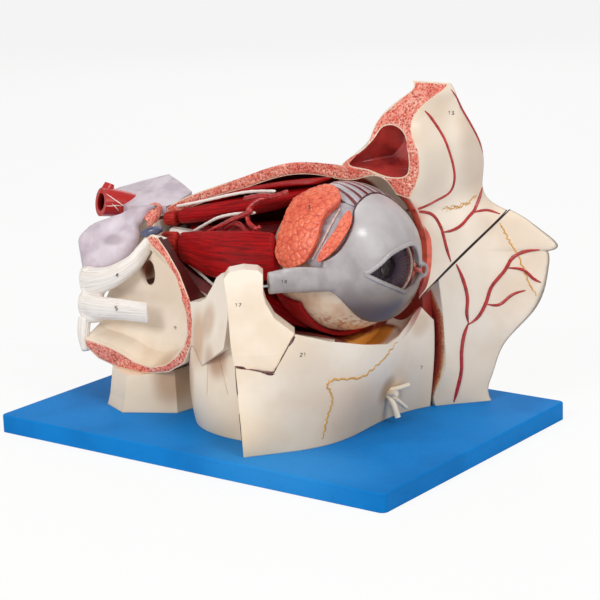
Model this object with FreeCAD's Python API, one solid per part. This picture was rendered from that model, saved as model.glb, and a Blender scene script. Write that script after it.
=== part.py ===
import FreeCAD, Part
import math
import os

# Right human eye in its bony orbit, about four times life size, on a painted board.
# Millimetres. +X is forward along the board's long side, +Y is towards the nose, +Z is up.
# The origin is the centre of the board's underside.

V = FreeCAD.Vector

# ---------------------------------------------------------------- driving dimensions
board_length = 310.0
board_width = 217.0
board_thick = 12.0
board_corner = 4.0

eye_centre = (51.0, 5.0, 119.0)
gaze_angle = -12.0  # degrees from +X, away from the nose
sclera_radius = 46.5
sclera_wall = 2.6
choroid_wall = 0.9
layer_gap = 0.3  # room between nested pieces
cornea_rim_radius = 21.5
cornea_curve_radius = 30.0
cornea_wall = 2.0
lens_radius = 18.0
lens_front = 37.0
lens_back = 22.0
lid_inner_radius = 47.1
lid_outer_radius = 51.4
septum_radius = 49.0
gland_outer_radius = 55.0
muscle_end = 33.0  # x where the side muscle ends, just behind the tear gland

orbit_wall_thick = 8.0
split_gap = 0.3  # seam between bone pieces that come apart
screw_radius = 2.0
screw_head_radius = 4.0
screw_length = 24.0

# Cone of the orbit: x, y, z of the centre and radius, from the apex to the rim.
orbit_stations = [
    (-96, 0, 124, 8),
    (-87, 1, 123, 13.5),
    (-70, 2, 121, 23),
    (-45, 3, 119.5, 33.5),
    (-20, 4, 119, 43.5),
    (0, 5, 119, 49.5),
    (23, 5, 119, 51.5),
    (50, 5, 119, 51.5),
    (75, 5, 118, 50.5),
    (130, 5, 118, 50.5),
]


# ---------------------------------------------------------------- helpers
def vectors(points):
    return [V(*p) for p in points]


def spline(points):
    curve = Part.BSplineCurve()
    curve.interpolate(vectors(points))
    return curve.toShape()


def closed_spline(points):
    curve = Part.BSplineCurve()
    curve.interpolate(Points=vectors(points), PeriodicFlag=True)
    return Part.Wire([curve.toShape()])


def polygon(points):
    return Part.makePolygon(vectors(points) + [V(*points[0])])


def loft(wires, ruled=False):
    return Part.makeLoft(wires, True, ruled)


def level_wire(z, front, back):
    """Closed outline at one height: a front curve, a back curve and two straight ends."""
    start = [(x, y, z) for x, y in front]
    end = [(x, y, z) for x, y in back]
    edges = [
        spline(start),
        Part.makeLine(V(*start[-1]), V(*end[0])),
        spline(end),
        Part.makeLine(V(*end[-1]), V(*start[0])),
    ]
    return Part.Wire(edges)


def level_solid(levels):
    return loft([level_wire(z, front, back) for z, front, back in levels])


def outline_levels(levels):
    """Solid through polygons of equal point count, one per height."""
    return loft([polygon([(x, y, z) for x, y in points]) for z, points in levels], True)


def largest(shape):
    return max(shape.Solids, key=lambda piece: piece.Volume)


def half_space(origin, normal):
    size = 900
    box = Part.makeBox(size, size, size, V(-size / 2, -size / 2, 0))
    turn = FreeCAD.Rotation(V(0, 0, 1), V(*normal))
    box.Placement = FreeCAD.Placement(V(*origin), turn)
    return box


def prism(points, direction):
    return Part.Face(polygon(points)).extrude(V(*direction))


def prism_xz(points, y_low, y_high):
    return prism([(x, y_low, z) for x, z in points], (0, y_high - y_low, 0))


def prism_yz(points, x_low, x_high):
    return prism([(x_low, y, z) for y, z in points], (x_high - x_low, 0, 0))


def oval_wire(centre, side, up, half_side, half_up, count=12):
    points = []
    for i in range(count):
        angle = 2 * math.pi * i / count
        point = V(*centre) + side * (half_side * math.cos(angle)) + up * (half_up * math.sin(angle))
        points.append(tuple(point))
    return closed_spline(points)


def strand(stations, up=(0, 0, 1)):
    """Smooth solid through oval sections: each station is x, y, z, half width, half height."""
    wires = []
    last = len(stations) - 1
    for i, (x, y, z, half_side, half_up) in enumerate(stations):
        before = V(*stations[max(i - 1, 0)][:3])
        after = V(*stations[min(i + 1, last)][:3])
        along = (after - before).normalize()
        side = along.cross(V(*up)).normalize()
        wires.append(oval_wire((x, y, z), side, side.cross(along), half_side, half_up))
    return loft(wires)


def tube(points, radius):
    """Round tube along straight runs joined by tangent arcs."""
    corners = vectors(points)
    edges = []
    start = corners[0]
    for i in range(1, len(corners) - 1):
        inward = corners[i] - corners[i - 1]
        outward = corners[i + 1] - corners[i]
        reach = 0.45 * min(inward.Length, outward.Length)
        inward.normalize()
        outward.normalize()
        first = corners[i] - inward * reach
        second = corners[i] + outward * reach
        bisector = (outward - inward).normalize()
        half_turn = inward.getAngle(outward) / 2
        bend = reach / math.tan(half_turn)
        middle = corners[i] + bisector * (bend / math.cos(half_turn) - bend)
        edges.append(Part.makeLine(start, first))
        edges.append(Part.Arc(first, middle, second).toShape())
        start = second
    edges.append(Part.makeLine(start, corners[-1]))
    path = Part.Wire(edges)
    direction = corners[1] - corners[0]
    section = Part.Wire([Part.Circle(corners[0], direction, radius).toShape()])
    return path.makePipeShell([section], True, False)


def tube_group(routes, radius):
    return Part.makeCompound([tube(route, radius) for route in routes])


def round_cone(stations, extra):
    wires = []
    for x, y, z, radius in stations:
        circle = Part.Circle(V(x, y, z), V(1, 0, 0), radius + extra)
        wires.append(Part.Wire([circle.toShape()]))
    return loft(wires)


# ---------------------------------------------------------------- eye axes
gaze = V(math.cos(math.radians(gaze_angle)), math.sin(math.radians(gaze_angle)), 0)
nasal = V(-gaze.y, gaze.x, 0)
upward = V(0, 0, 1)
globe = V(*eye_centre)


def eye_direction(turn, lift):
    """Unit vector from the eye's centre: turn towards the nose, lift above the gaze, in degrees."""
    a = math.radians(turn)
    b = math.radians(lift)
    return gaze * (math.cos(b) * math.cos(a)) + nasal * (math.cos(b) * math.sin(a)) + upward * math.sin(b)


def eye_point(turn, lift, radius):
    return globe + eye_direction(turn, lift) * radius


def ball(radius, ahead=0.0):
    return Part.makeSphere(radius, globe + gaze * ahead, gaze, -90, 90, 360)


def sight_cone(outline, centre, reach=95.0):
    """Solid angle from the eye's centre through a closed outline of (turn, lift) points."""
    middle = eye_direction(*centre)
    far = []
    for turn, lift in outline:
        ray = eye_direction(turn, lift)
        far.append(ray * (reach / ray.dot(middle)))
    wires = [closed_spline([tuple(globe + p * part) for p in far]) for part in (0.3, 1.0)]
    return loft(wires, True)


def ahead_of(distance):
    return half_space(globe + gaze * distance, gaze)


def behind(distance):
    return half_space(globe + gaze * distance, gaze * -1)


# ---------------------------------------------------------------- cutting planes and tools
facing_right = V(0.8, 0.6, 0)
facing_in = V(-0.6, 0.8, 0)
orbit_space = round_cone(orbit_stations, 0)
orbit_outside = round_cone(orbit_stations, orbit_wall_thick)

# Room for the front half of the eyeball to slide out along the gaze.
slide_way = Part.makeCylinder(sclera_radius + 1.6, 110, globe, gaze)

# The sagittal saw cut through the roof and the slanting cut through the forehead.
roof_cut = half_space((-95, 5, 119), (0.12, -1, 0))
forehead_cut = half_space((0, 20, 179.4), (0, -1, 0.6))

# The seam between the forehead and the nose, from the orbit's inner rim up to the bridge.
seam_point = (105, 69, 118)
seam_normal = V(-40, -22, 48.3).normalize()


def above_seam(gap):
    return half_space(V(*seam_point) + seam_normal * gap, seam_normal)


def below_seam(gap):
    return half_space(V(*seam_point) - seam_normal * gap, seam_normal * -1)


# The lateral opening of the orbit, between these two directions seen from the front.
opening_side = prism_yz([(5, 119), (-115, 49.7), (-115, 240), (149, 240)], -200, 200)


# ---------------------------------------------------------------- board
def make_base_board():
    board = Part.makeBox(
        board_length, board_width, board_thick, V(-board_length / 2, -board_width / 2, 0)
    )
    upright = [e for e in board.Edges if abs(e.Vertexes[0].Z - e.Vertexes[-1].Z) > 1]
    board = board.makeFillet(board_corner, upright)
    top = [e for e in board.Edges if min(v.Z for v in e.Vertexes) > board_thick - 0.1]
    return board.makeFillet(1.2, top)


screw_places = [(60, -60), (58, 20), (-8, -44), (-8, 24), (96, 74), (-80, -42)]


def make_screws():
    screws = []
    for x, y in screw_places:
        head = Part.makeCone(screw_head_radius, screw_radius, 2.4, V(x, y, 0.6))
        shank = Part.makeCylinder(screw_radius, screw_length, V(x, y, 3.0))
        slot = Part.makeBox(2 * screw_head_radius, 0.9, 1.0, V(x - screw_head_radius, y - 0.45, 0.6))
        screws.append(head.fuse(shank).removeSplitter().cut(slot))
    return Part.makeCompound(screws)


def screw_holes():
    holes = []
    for x, y in screw_places:
        sink = Part.makeCylinder(screw_head_radius, 0.6, V(x, y, 0))
        head = Part.makeCone(screw_head_radius, screw_radius, 2.4, V(x, y, 0.6))
        shank = Part.makeCylinder(screw_radius, screw_length, V(x, y, 3.0))
        holes.append(sink.fuse([head, shank]).removeSplitter())
    return Part.makeCompound(holes)


# ---------------------------------------------------------------- forehead and orbit roof
forehead_levels = [
    (84, [(86, 40), (102, 67), (124, 84), (147, 95.5)], [(118, 86.4), (98, 80), (76, 68), (62, 52)]),
    (106, [(86, 40), (101, 66), (124, 84), (150, 97)], [(118, 86.4), (98, 80), (76, 68), (62, 52)]),
    (124, [(85, 38), (99, 64), (122, 82), (152, 97)], [(118, 86.4), (98, 80), (76, 68), (62, 52)]),
    (140, [(85, 36), (96, 61), (112, 77), (129, 90)], [(104, 82), (84, 76), (62, 66), (50, 48)]),
    (150, [(86, 30), (93, 56), (103, 73), (110, 85.5)], [(90, 79.5), (72, 73), (52, 60), (44, 42)]),
    (160, [(88, 20), (95, 48), (103, 69), (107.5, 83.5)], [(82, 75.5), (62, 67), (44, 52), (36, 30)]),
    (170, [(92, 15), (98.5, 44), (106, 66), (110, 81)], [(80, 73), (62, 62), (44, 44), (36, 14)]),
    (182, [(93, 14), (100, 43), (108, 65), (112, 77)], [(78, 70), (60, 58), (43.5, 37), (48.5, 20)]),
    (194, [(88, 20), (98, 45), (107, 62), (111.5, 71)], [(80, 65), (64, 55), (54, 42), (58.5, 27)]),
    (206, [(77, 29), (93, 45), (103.5, 58), (108.5, 63)], [(82, 61), (69, 56), (58.5, 47), (60.5, 35)]),
    (218, [(83, 33), (95, 45), (102.5, 52), (106.5, 56.5)], [(86, 57), (77, 54), (70.5, 49), (72.5, 41.5)]),
    (229, [(90, 36), (97, 43), (102, 47.5), (105, 50.5)], [(88, 53.5), (82, 53), (77.5, 51.5), (75.5, 47)]),
]

sinus_outline = [(65, 202), (71, 203), (78, 200.5), (84, 195), (87, 187), (87.5, 179), (86, 173.5),
                 (79.5, 171.3), (69, 172.5), (58, 175.5), (48, 178), (51, 181.5), (57.5, 188), (61.5, 194.5)]


def sinus_wire(y, size, shift):
    """The sinus outline shrunk about its middle and moved to depth y."""
    middle_x, middle_z = 73.0, 184.0
    points = []
    for x, z in sinus_outline:
        points.append((middle_x + shift + (x - middle_x) * size, y, middle_z + (z - middle_z) * size))
    return closed_spline(points)


def make_frontal_bone():
    brow = level_solid(forehead_levels).cut(below_seam(-split_gap / 2))
    roof_stations = [s for s in orbit_stations if s[0] <= 75]
    roof = round_cone(roof_stations, orbit_wall_thick)
    medial_end = prism_yz([(5, 119.5), (149, 240.5), (149, 40), (-60, 40), (-60, 119.5)], -200, 200)
    roof = roof.cut(medial_end)
    bone = roof.fuse(brow).cut(orbit_space).cut(slide_way).cut(roof_cut).cut(forehead_cut)
    sinus = loft([sinus_wire(10, 1.0, 0), sinus_wire(32, 1.0, 0), sinus_wire(46, 0.6, 5)])
    return bone.cut(sinus)


# ---------------------------------------------------------------- nose side
nose_low_levels = [
    (12, [(87, 55.5), (94, 64), (103, 74), (112.5, 84.7)], [(92, 78.6), (84, 74), (78, 67), (74, 60)]),
    (30, [(91, 56), (97, 65), (105, 75), (113, 84.9)], [(92, 78.6), (84, 74), (78, 67), (74, 60)]),
    (52, [(94, 57), (100, 67), (109, 77), (121, 87.3)], [(96, 79.8), (86, 74.5), (79, 67.5), (74, 60)]),
    (64, [(93.5, 56.5), (101, 67), (114, 79.5), (130.5, 90)], [(102, 81.6), (90, 76), (80, 68), (73, 59)]),
    (76, [(93, 56), (102, 67.5), (118, 81.5), (140.5, 93)], [(110, 84), (94, 77.5), (80, 68.5), (72, 58)]),
    (90, [(92, 55), (102, 67.5), (122, 83.5), (147, 95)], [(116, 85.8), (97, 79), (80, 69), (72, 58)]),
    (106, [(90, 54), (101, 66.5), (124, 84), (149.5, 96.5)], [(118, 86.4), (98, 80), (80, 69), (72, 58)]),
    (116, [(89, 52), (101, 66), (124, 84), (149, 96.5)], [(118, 86.4), (98, 80), (80, 69), (72, 58)]),
]

nose_high_levels = [
    nose_low_levels[-1],
    (120, [(87, 48), (100, 65), (125, 84), (155.5, 97.8)], [(118, 86.4), (98, 80), (78, 68), (68, 55)]),
    (126, [(86, 46), (99, 64), (121, 82), (150.5, 96.2)], [(116, 85.8), (97, 79.5), (77, 67), (66, 53)]),
    (134, [(85, 44), (97, 62.5), (116, 79.5), (140, 93)], [(110, 84), (94, 78), (76, 66), (64, 52)]),
    (142, [(85, 40), (95, 60), (110, 77), (127, 89.2)], [(104, 82), (88, 76), (72, 65), (60, 50)]),
    (150, [(86, 34), (93, 57), (104, 74), (110, 84)], [(92, 80), (80, 75), (66, 63), (56, 46)]),
]


def make_nasal_bone():
    bone = level_solid(nose_low_levels).fuse(level_solid(nose_high_levels))
    return bone.cut(above_seam(-split_gap / 2)).cut(orbit_space).cut(slide_way)


# ---------------------------------------------------------------- inner wall and floor of the orbit
def make_orbit_wall(front_bones):
    stations = [s for s in orbit_stations if -90 < s[0] <= 75]
    ring = round_cone(stations, orbit_wall_thick)
    slab = outline_wall_sections([
        (-87, [(6, 108), (30, 104), (32, 140), (10, 138)]),
        (-40, [(20, 70), (52, 66), (54, 152), (24, 148)]),
        (-5, [(36, 62), (64, 60), (66, 160), (38, 156)]),
        (84, [(42, 60), (66, 60), (66, 150), (46, 150)]),
    ])
    bone = ring.fuse(slab).cut(orbit_space).cut(slide_way).cut(opening_side)
    floor_front = Part.makeBox(60, 106, 60, V(58, -60, 40))
    side_front = prism_yz([(5, 119), (-115, 49.7), (-58.4, -17)], 15, 200)
    return bone.cut(floor_front).cut(side_front).cut(front_bones)


def outline_wall_sections(sections):
    """Solid through four-cornered sections, one per x."""
    return loft([polygon([(x, y, z) for y, z in corners]) for x, corners in sections], True)


# ---------------------------------------------------------------- cheek
cheek_back = [(58, 55), (46, 20), (32, -30), (24, -71)]
cheek_levels = [
    (12, [(43, -97), (58, -77), (70, -58), (76, -35), (75, -3), (76, 30), (84, 53)], cheek_back),
    (30, [(42, -97), (59, -78), (71, -58), (79, -35), (80, -3), (80, 30), (85.5, 54)], cheek_back),
    (50, [(40, -96.5), (59.5, -81), (72, -60), (82, -35), (86, -3), (84, 30), (87, 54.5)], cheek_back),
    (70, [(38, -96), (59, -84), (70, -67), (81, -40), (89, -3), (86, 28), (87, 54.5)], cheek_back),
    (95, [(30, -90), (52, -80), (64, -71), (76, -48), (88, -10), (84, 30), (84, 52)], cheek_back),
]

# Orbit rim, from the process seam to the nose: y, x and z of the crest.
rim_crest = [(-110, 58, 88), (-71, 66, 88), (-50, 77, 80), (-25, 82.5, 73), (-2, 88, 68.5),
             (12, 86, 70.5), (25, 81, 77), (42, 83.5, 83), (56, 86, 70), (70, 86, 66)]


def make_above_rim():
    """The space over the crest, falling back into the orbit floor."""
    wires = []
    for y, x, z in rim_crest:
        corners = [(130, z + 1), (x, z), (x - 16, z - 7), (-30, z - 12), (-30, 190), (130, 190)]
        wires.append(polygon([(px, y, pz) for px, pz in corners]))
    return loft(wires, True)


def facing_point(across, z, depth):
    """Point from its place across the face, its height and its depth behind the face."""
    point = facing_right * across + facing_in * depth
    return (point.x, point.y, z)


# Process outline: place across the face and height, clockwise from the upper left.
process_outline = [(-32.2, 121.5), (-29, 125.5), (-20, 127), (-11, 126), (-8, 123.5), (-8.1, 112), (-6.6, 106),
                   (-1.7, 97.5), (10.4, 88), (-3.2, 65.5), (-27.4, 69), (-29.1, 81.5), (-30.3, 104.5)]
process_face = [(-83, 132), (-92, 102), (-99.5, 76), (-101, 60)]
process_thick = 16.0


def process_prism(grow):
    """The outline carried along its line of removal, grown sideways by a clearance."""
    points = [V(*facing_point(s, z, -150)) for s, z in process_outline]
    face = Part.Face(Part.makePolygon(points + [points[0]]))
    if grow:
        wire = face.OuterWire.makeOffset2D(grow)
        face = Part.Face(wire)
    return face.extrude(facing_in * 110)


def make_cheek_process():
    corners = list(process_face)
    corners += [(w + process_thick, z) for w, z in reversed(process_face)]
    start = [facing_point(-60, z, w) for w, z in corners]
    slab = prism(start, tuple(facing_right * 100))
    body = process_prism(0).common(slab)
    notch = prism(
        [facing_point(-14.5, z, w) for w, z in [(-85.6, 113.4), (-50, 113.4), (-50, 116.8), (-85.6, 116.8)]],
        tuple(facing_right * 30),
    )
    return body.cut(notch)


def make_cheek_bone():
    bone = level_solid(cheek_levels).cut(make_above_rim())
    lateral_top = prism_xz([(-20, 69), (66, 88), (66, 140), (-20, 140)], -120, -71)
    bone = bone.cut(process_prism(split_gap)).cut(orbit_outside).cut(slide_way)
    left_of_seam = half_space(facing_point(-27.4, 69, -98), tuple(facing_right * -1))
    over_seam = half_space((0, 0, 69), (0, 0, 1))
    return bone.cut(left_of_seam.common(over_seam)).cut(lateral_top.common(process_prism(split_gap)))


# ---------------------------------------------------------------- back of the upper jaw
jaw_levels = [
    (12, [(-44, -6), (-40, -40), (-22, -60), (0, -69), (23, -70.5)], [(58, 55), (10, 50), (-30, 36), (-44, 8)]),
    (40, [(-46, -6), (-42, -42), (-24, -62), (0, -71), (22, -72)], [(58, 55), (10, 50), (-30, 36), (-46, 8)]),
    (62, [(-46, -6), (-42, -40), (-24, -58), (0, -68), (21, -73)], [(58, 55), (10, 50), (-30, 36), (-46, 8)]),
    (84, [(-46, -6), (-40, -34), (-22, -50), (0, -62), (19, -70)], [(58, 55), (10, 50), (-30, 36), (-46, 8)]),
]


def make_upper_jaw(cheek, side_wing):
    bone = level_solid(jaw_levels).cut(half_space((24, -71, 0), (0.985, -0.27, 0)))
    lift = half_space((20, -70, 80), (0.35, -0.5, 0.8))
    return bone.cut(lift).cut(orbit_outside).cut(cheek).cut(side_wing)


# ---------------------------------------------------------------- temple wing and sphenoid
wing_levels = [
    (42, [(-36, -49), (-24, -56), (-10, -64), (0, -70)], [(0, -59), (-10, -53), (-22, -45), (-34, -38)]),
    (75, [(-35, -49.5), (-18, -61), (0, -72), (18, -81)], [(20, -70), (2, -62), (-16, -51), (-32, -40)]),
    (95, [(-35, -49.5), (-16, -59), (2, -69), (22, -81)], [(24, -70), (4, -60), (-14, -50), (-32, -40)]),
    (122, [(-34, -46), (-18, -54), (0, -63), (18, -75)], [(22, -66), (4, -55), (-12, -46), (-30, -38)]),
]
wing_outline = [(-38.5, 48), (-33, 46), (-24, 49), (2, 64), (27, 80), (30, 121), (9, 119.5), (1, 115),
                (-5, 107), (-12, 99), (-20, 95), (-33.2, 92), (-31, 80), (-34.3, 63)]


def make_side_wing():
    wing = level_solid(wing_levels).common(prism_xz(wing_outline, -110, -20))
    return wing.cut(process_prism(split_gap)).cut(orbit_outside)


sphenoid_outline = [(-130, 57), (-128, 49), (-117, 42), (-100, 38), (-77, 37), (-55, 41), (-41, 49),
                    (-34, 63), (-30.5, 80), (-33, 92), (-46, 109), (-59, 121.5), (-69, 129.5), (-76, 130.5),
                    (-86, 122), (-104, 108), (-120, 96), (-130, 76)]
bowl_outline = [(-150, 64), (-126, 54.5), (-110, 52.7), (-97, 49.5), (-84, 44.5), (-71, 43), (-58, 46),
                (-47.5, 53.5), (-41, 61), (-37.5, 70), (-37.7, 83), (-40.5, 92.6), (-49, 106), (-61, 118),
                (-74, 126), (-90, 146), (-120, 130), (-150, 100)]


def scaled_outline(outline, y, size, middle):
    mx, mz = middle
    return polygon([(mx + (x - mx) * size, y, mz + (z - mz) * size) for x, z in outline])


def make_sphenoid(side_wing):
    middle = (-78, 82)
    shell = loft([
        scaled_outline(sphenoid_outline, -56, 1.0, middle),
        scaled_outline(sphenoid_outline, -26, 0.97, middle),
        scaled_outline(sphenoid_outline, 0, 0.8, middle),
    ], True)
    bowl = loft([
        scaled_outline(bowl_outline, -62, 1.02, (-78, 86)),
        scaled_outline(bowl_outline, -46, 1.0, (-78, 86)),
        scaled_outline(bowl_outline, -34, 0.88, (-86, 90)),
        scaled_outline(bowl_outline, -27, 0.6, (-90, 94)),
    ], True)
    foramen = strand([(-86, -40, 101, 5, 9), (-88, -20, 100, 4, 8), (-90, -12, 99, 3.5, 7)])
    core = outline_levels([
        (52, [(-112, -12), (-70, -12), (-70, 26), (-112, 26)]),
        (100, [(-124, -22), (-80, -22), (-80, 38), (-124, 38)]),
        (134, [(-126, -8), (-97, -8), (-97, 44), (-126, 44)]),
    ])
    bar_cut = prism_yz([(-50, 0), (-50, 92), (-34, 139), (-34, 200), (-90, 200), (-90, 0)], -200, 100)
    vein_rest = Part.makeBox(36, 24, 20, V(-100, -34, 127))
    body = shell.fuse(core).cut(bowl).cut(bar_cut).cut(foramen).cut(vein_rest)
    return body.cut(orbit_outside).cut(side_wing)


def make_support_column(sphenoid):
    column = outline_levels([
        (12, [(-108, -53), (-86, -63), (-53, -45), (-50, -26), (-76, -10), (-106, -26)]),
        (20, [(-106, -52), (-85, -61), (-54, -44), (-52, -26), (-76, -12), (-104, -26)]),
        (56, [(-103, -48), (-84, -56), (-57, -42), (-55, -26), (-76, -14), (-101, -26)]),
    ])
    shell_side = Part.Face(scaled_outline(sphenoid_outline, -90, 1.0, (-78, 82)))
    return column.cut(shell_side.extrude(V(0, 62, 0))).cut(sphenoid)


def make_dura_plate(sphenoid):
    sections = [
        (-163, [(11, 140), (32, 143), (32, 138), (11, 135)]),
        (-143, [(5, 139), (37, 149), (37, 144), (5, 134)]),
        (-126, [(-2, 138.5), (43.5, 153.5), (43.5, 148), (-2, 133.5)]),
        (-108, [(1, 140), (35, 150.5), (35, 145), (1, 134.5)]),
        (-91, [(4, 141), (26, 147), (26, 141.5), (4, 135)]),
    ]
    return outline_wall_sections(sections).cut(sphenoid).cut(orbit_outside)


def make_lesser_wing():
    """Rounded spur of spongy bone at the inner end of the roof."""
    return strand([(-106, 3, 139, 3, 3.4), (-101, -3, 137, 4, 5), (-100, -8, 133, 3.6, 4.6), (-103, -13, 129.5, 3, 3)],
                  up=(0.8, 0.6, 0))


# ---------------------------------------------------------------- nerves and vessels behind the orbit
def make_nerve_ganglion():
    return strand([
        (-148, -17, 118, 4, 5), (-141.5, -22, 118, 12, 11.5), (-132, -24, 118.5, 17, 16),
        (-119, -21, 121, 18, 17), (-107, -16, 124, 15, 13), (-98, -13, 126, 9, 7),
    ])


def make_upper_trunk():
    return strand([
        (-137, -38, 91, 5, 10.5), (-126, -40, 93, 5, 9.5), (-110, -39, 98, 5, 7.5),
        (-95, -34, 107, 5, 6), (-87, -28, 118.5, 4.5, 5),
    ])


def make_lower_trunk():
    return strand([
        (-137, -41, 76, 5, 9), (-120, -43, 76, 5, 8), (-100, -43, 77, 4.5, 7.5),
        (-79, -39, 78, 4, 7), (-74, -34, 78, 4, 6.5),
    ])


def make_jaw_trunk():
    return strand([(-134, -43, 68, 5, 4), (-133, -46, 56, 4.5, 4), (-130, -47, 45, 3.5, 3.5)], up=(0, 1, 0))


def make_carotid():
    axis = [(-146, -7, 140.5, 10, 10), (-140, 5, 138, 9.6, 9.6), (-134, 16, 134, 8.6, 8.6), (-127, 26, 129, 7.5, 7.5)]
    trunk = strand(axis)
    branch = strand([(-146, -3, 144, 5, 5), (-145.5, 0, 148, 4.4, 4.4), (-145, 2, 152, 3.4, 3.4)], up=(0, 1, 0))
    bore = Part.makeCylinder(6.2, 14, V(-146.4, -7.9, 140.7), V(0.42, 0.88, -0.2))
    return trunk.fuse(branch).cut(bore)


def make_orbit_vein():
    return strand([
        (-92.5, -27.2, 126.6, 1.4, 1.4), (-89.5, -25.6, 127.5, 2.8, 2.8), (-86, -24, 128.6, 3.4, 3.2),
        (-82.4, -22.2, 129.6, 2.8, 2.8), (-79.5, -20.6, 130.4, 1.4, 1.4),
    ])


# ---------------------------------------------------------------- muscles
def make_muscles():
    pieces = {}
    pieces["upper_muscle_stub"] = strand([(-93, 1, 132, 5.5, 4.8), (-88, 1, 133, 6.2, 5.2), (-83.5, 1.5, 134, 6.2, 5)])
    pieces["side_muscle_stub"] = strand([(-89, -9, 117, 3.5, 8), (-81, -11, 117.5, 4.2, 9.2), (-72, -13, 118, 4.2, 9.8)])
    pieces["upper_rectus"] = strand([
        (-81, 2, 134.5, 6.2, 5), (-55, 4, 140, 9, 6), (-30, 6, 145.5, 11, 6.4),
        (-4, 7, 151.5, 13, 6), (16, 7, 157.5, 14, 4), (34, 7, 163.3, 14, 2.0),
    ])
    pieces["lid_lifter"] = strand([
        (-60, 8, 146.5, 4, 1.8), (-30, 9, 155.5, 7, 2), (-4, 9, 161.5, 9, 2), (16, 8, 165.2, 11, 1.8), (33, 8, 167.6, 13, 1.2),
    ])
    pieces["side_rectus"] = strand([
        (-69, -13.5, 118, 4.2, 9.8), (-50, -19, 118, 5, 13.5), (-34, -24.5, 118.5, 5.4, 15.5),
        (-4, -35, 123, 5.4, 16), (14, -40, 125.5, 4.6, 16), (36, -43.8, 128, 3.4, 15),
    ])
    pieces["inner_rectus"] = strand([
        (-80, 8, 121, 3, 6), (-40, 22, 119, 4.5, 12), (0, 40, 119, 5, 14), (30, 50.3, 119, 3.2, 13),
    ])
    pieces["lower_rectus"] = strand([
        (-80, 2, 111, 5, 3), (-40, 3, 95, 9, 4.5), (0, 5, 77.5, 12, 4.5), (30, 5, 73, 13, 2.6),
    ])
    pieces["upper_rectus"] = pieces["upper_rectus"].cut(ball(sclera_radius))
    pieces["side_rectus"] = pieces["side_rectus"].cut(half_space((muscle_end, 0, 0), (1, 0, 0)))
    pieces["lower_oblique"] = make_lower_oblique().cut(pieces["lower_rectus"]).cut(pieces["side_rectus"])
    return pieces


def make_lower_oblique():
    """Thin muscle hugging the globe below, from the outer side to the middle of the floor."""
    inner, outer = sclera_radius + 0.5, sclera_radius + 3.0
    around = math.radians(205)
    across = nasal * math.cos(around) + upward * math.sin(around)
    corners = [globe + gaze * ahead + across * out for ahead, out in [(-27, 20), (5, 20), (5, 60), (-27, 60)]]
    sector = Part.Face(polygon([tuple(corner) for corner in corners])).revolve(globe, gaze, 85)
    collar = Part.makeCylinder(outer, 6, globe, gaze).cut(Part.makeCylinder(inner, 6, globe, gaze))
    back_half = ball(outer).cut(ball(inner)).cut(ahead_of(0))
    return back_half.fuse(collar).common(sector)


# ---------------------------------------------------------------- nerves and arteries in the orbit
optic_nerve_line = [(-90, 1, 121.5, 6, 6), (-60, 3, 119, 6.5, 6.5), (-30, 6, 117, 7, 7), (8, 12, 118, 7, 7)]
nerve_routes = [
    [(-86, 3, 141), (-60, 1, 147.5), (-36, -3, 154), (-14, -7, 159), (8, -9, 161.5)],
    [(-66, -4, 127), (-50, -8, 135), (-36, -14, 141), (-18, -20, 146), (4, -26, 150)],
    [(-68, -8, 105), (-50, -16, 100.5), (-34, -24, 97.5), (-18, -30, 96)],
    [(-40, -8, 128), (-24, -14, 132), (-6, -18, 131), (10, -22, 136)],
]
artery_routes = [
    [(-70, -5, 121), (-52, -11, 127), (-34, -20, 135), (-14, -26, 144), (4, -29, 152)],
    [(-28, -17, 134), (-12, -24, 141), (0, -27, 136), (10, -29, 142)],
    [(-12, -16, 156), (4, -19, 160), (16, -21, 161), (26, -19, 164.5)],
]


# ---------------------------------------------------------------- eyeball
def eyeball_pieces():
    pieces = {}
    wall = ball(sclera_radius).cut(ball(sclera_radius - sclera_wall))
    pieces["sclera_back"] = wall.cut(ahead_of(-layer_gap / 2))
    lining_radius = sclera_radius - sclera_wall
    lining = ball(lining_radius).cut(ball(lining_radius - choroid_wall))
    pieces["retina_cup"] = lining.cut(ahead_of(-layer_gap / 2))
    window = Part.makeCylinder(cornea_rim_radius, 40, globe + gaze * 20, gaze)
    pieces["sclera_front"] = wall.cut(behind(layer_gap / 2)).cut(window)
    rim_ahead = math.sqrt(sclera_radius ** 2 - cornea_rim_radius ** 2)
    cornea_ahead = rim_ahead - math.sqrt(cornea_curve_radius ** 2 - cornea_rim_radius ** 2)
    dome = ball(cornea_curve_radius, cornea_ahead).cut(ball(cornea_curve_radius - cornea_wall, cornea_ahead))
    pieces["cornea"] = dome.cut(behind(rim_ahead - 1.1)).common(window)
    iris = Part.makeCylinder(cornea_rim_radius, 1.5, globe + gaze * (lens_front + 1.5), gaze)
    pupil = Part.makeCylinder(7.0, 4, globe + gaze * lens_front, gaze)
    pieces["iris"] = iris.cut(pupil)
    half = (lens_front - lens_back) / 2
    curve = (lens_radius ** 2 + half ** 2) / (2 * half)
    front_side = ball(curve, lens_front - curve)
    back_side = ball(curve, lens_back + curve)
    pieces["eye_lens"] = front_side.common(back_side)
    jelly = ball(lining_radius - choroid_wall - layer_gap)
    dish = ball(curve + layer_gap, lens_back + curve)
    pieces["vitreous_body"] = jelly.cut(ahead_of((lens_front + lens_back) / 2)).cut(dish)
    return pieces, cornea_ahead


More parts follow.
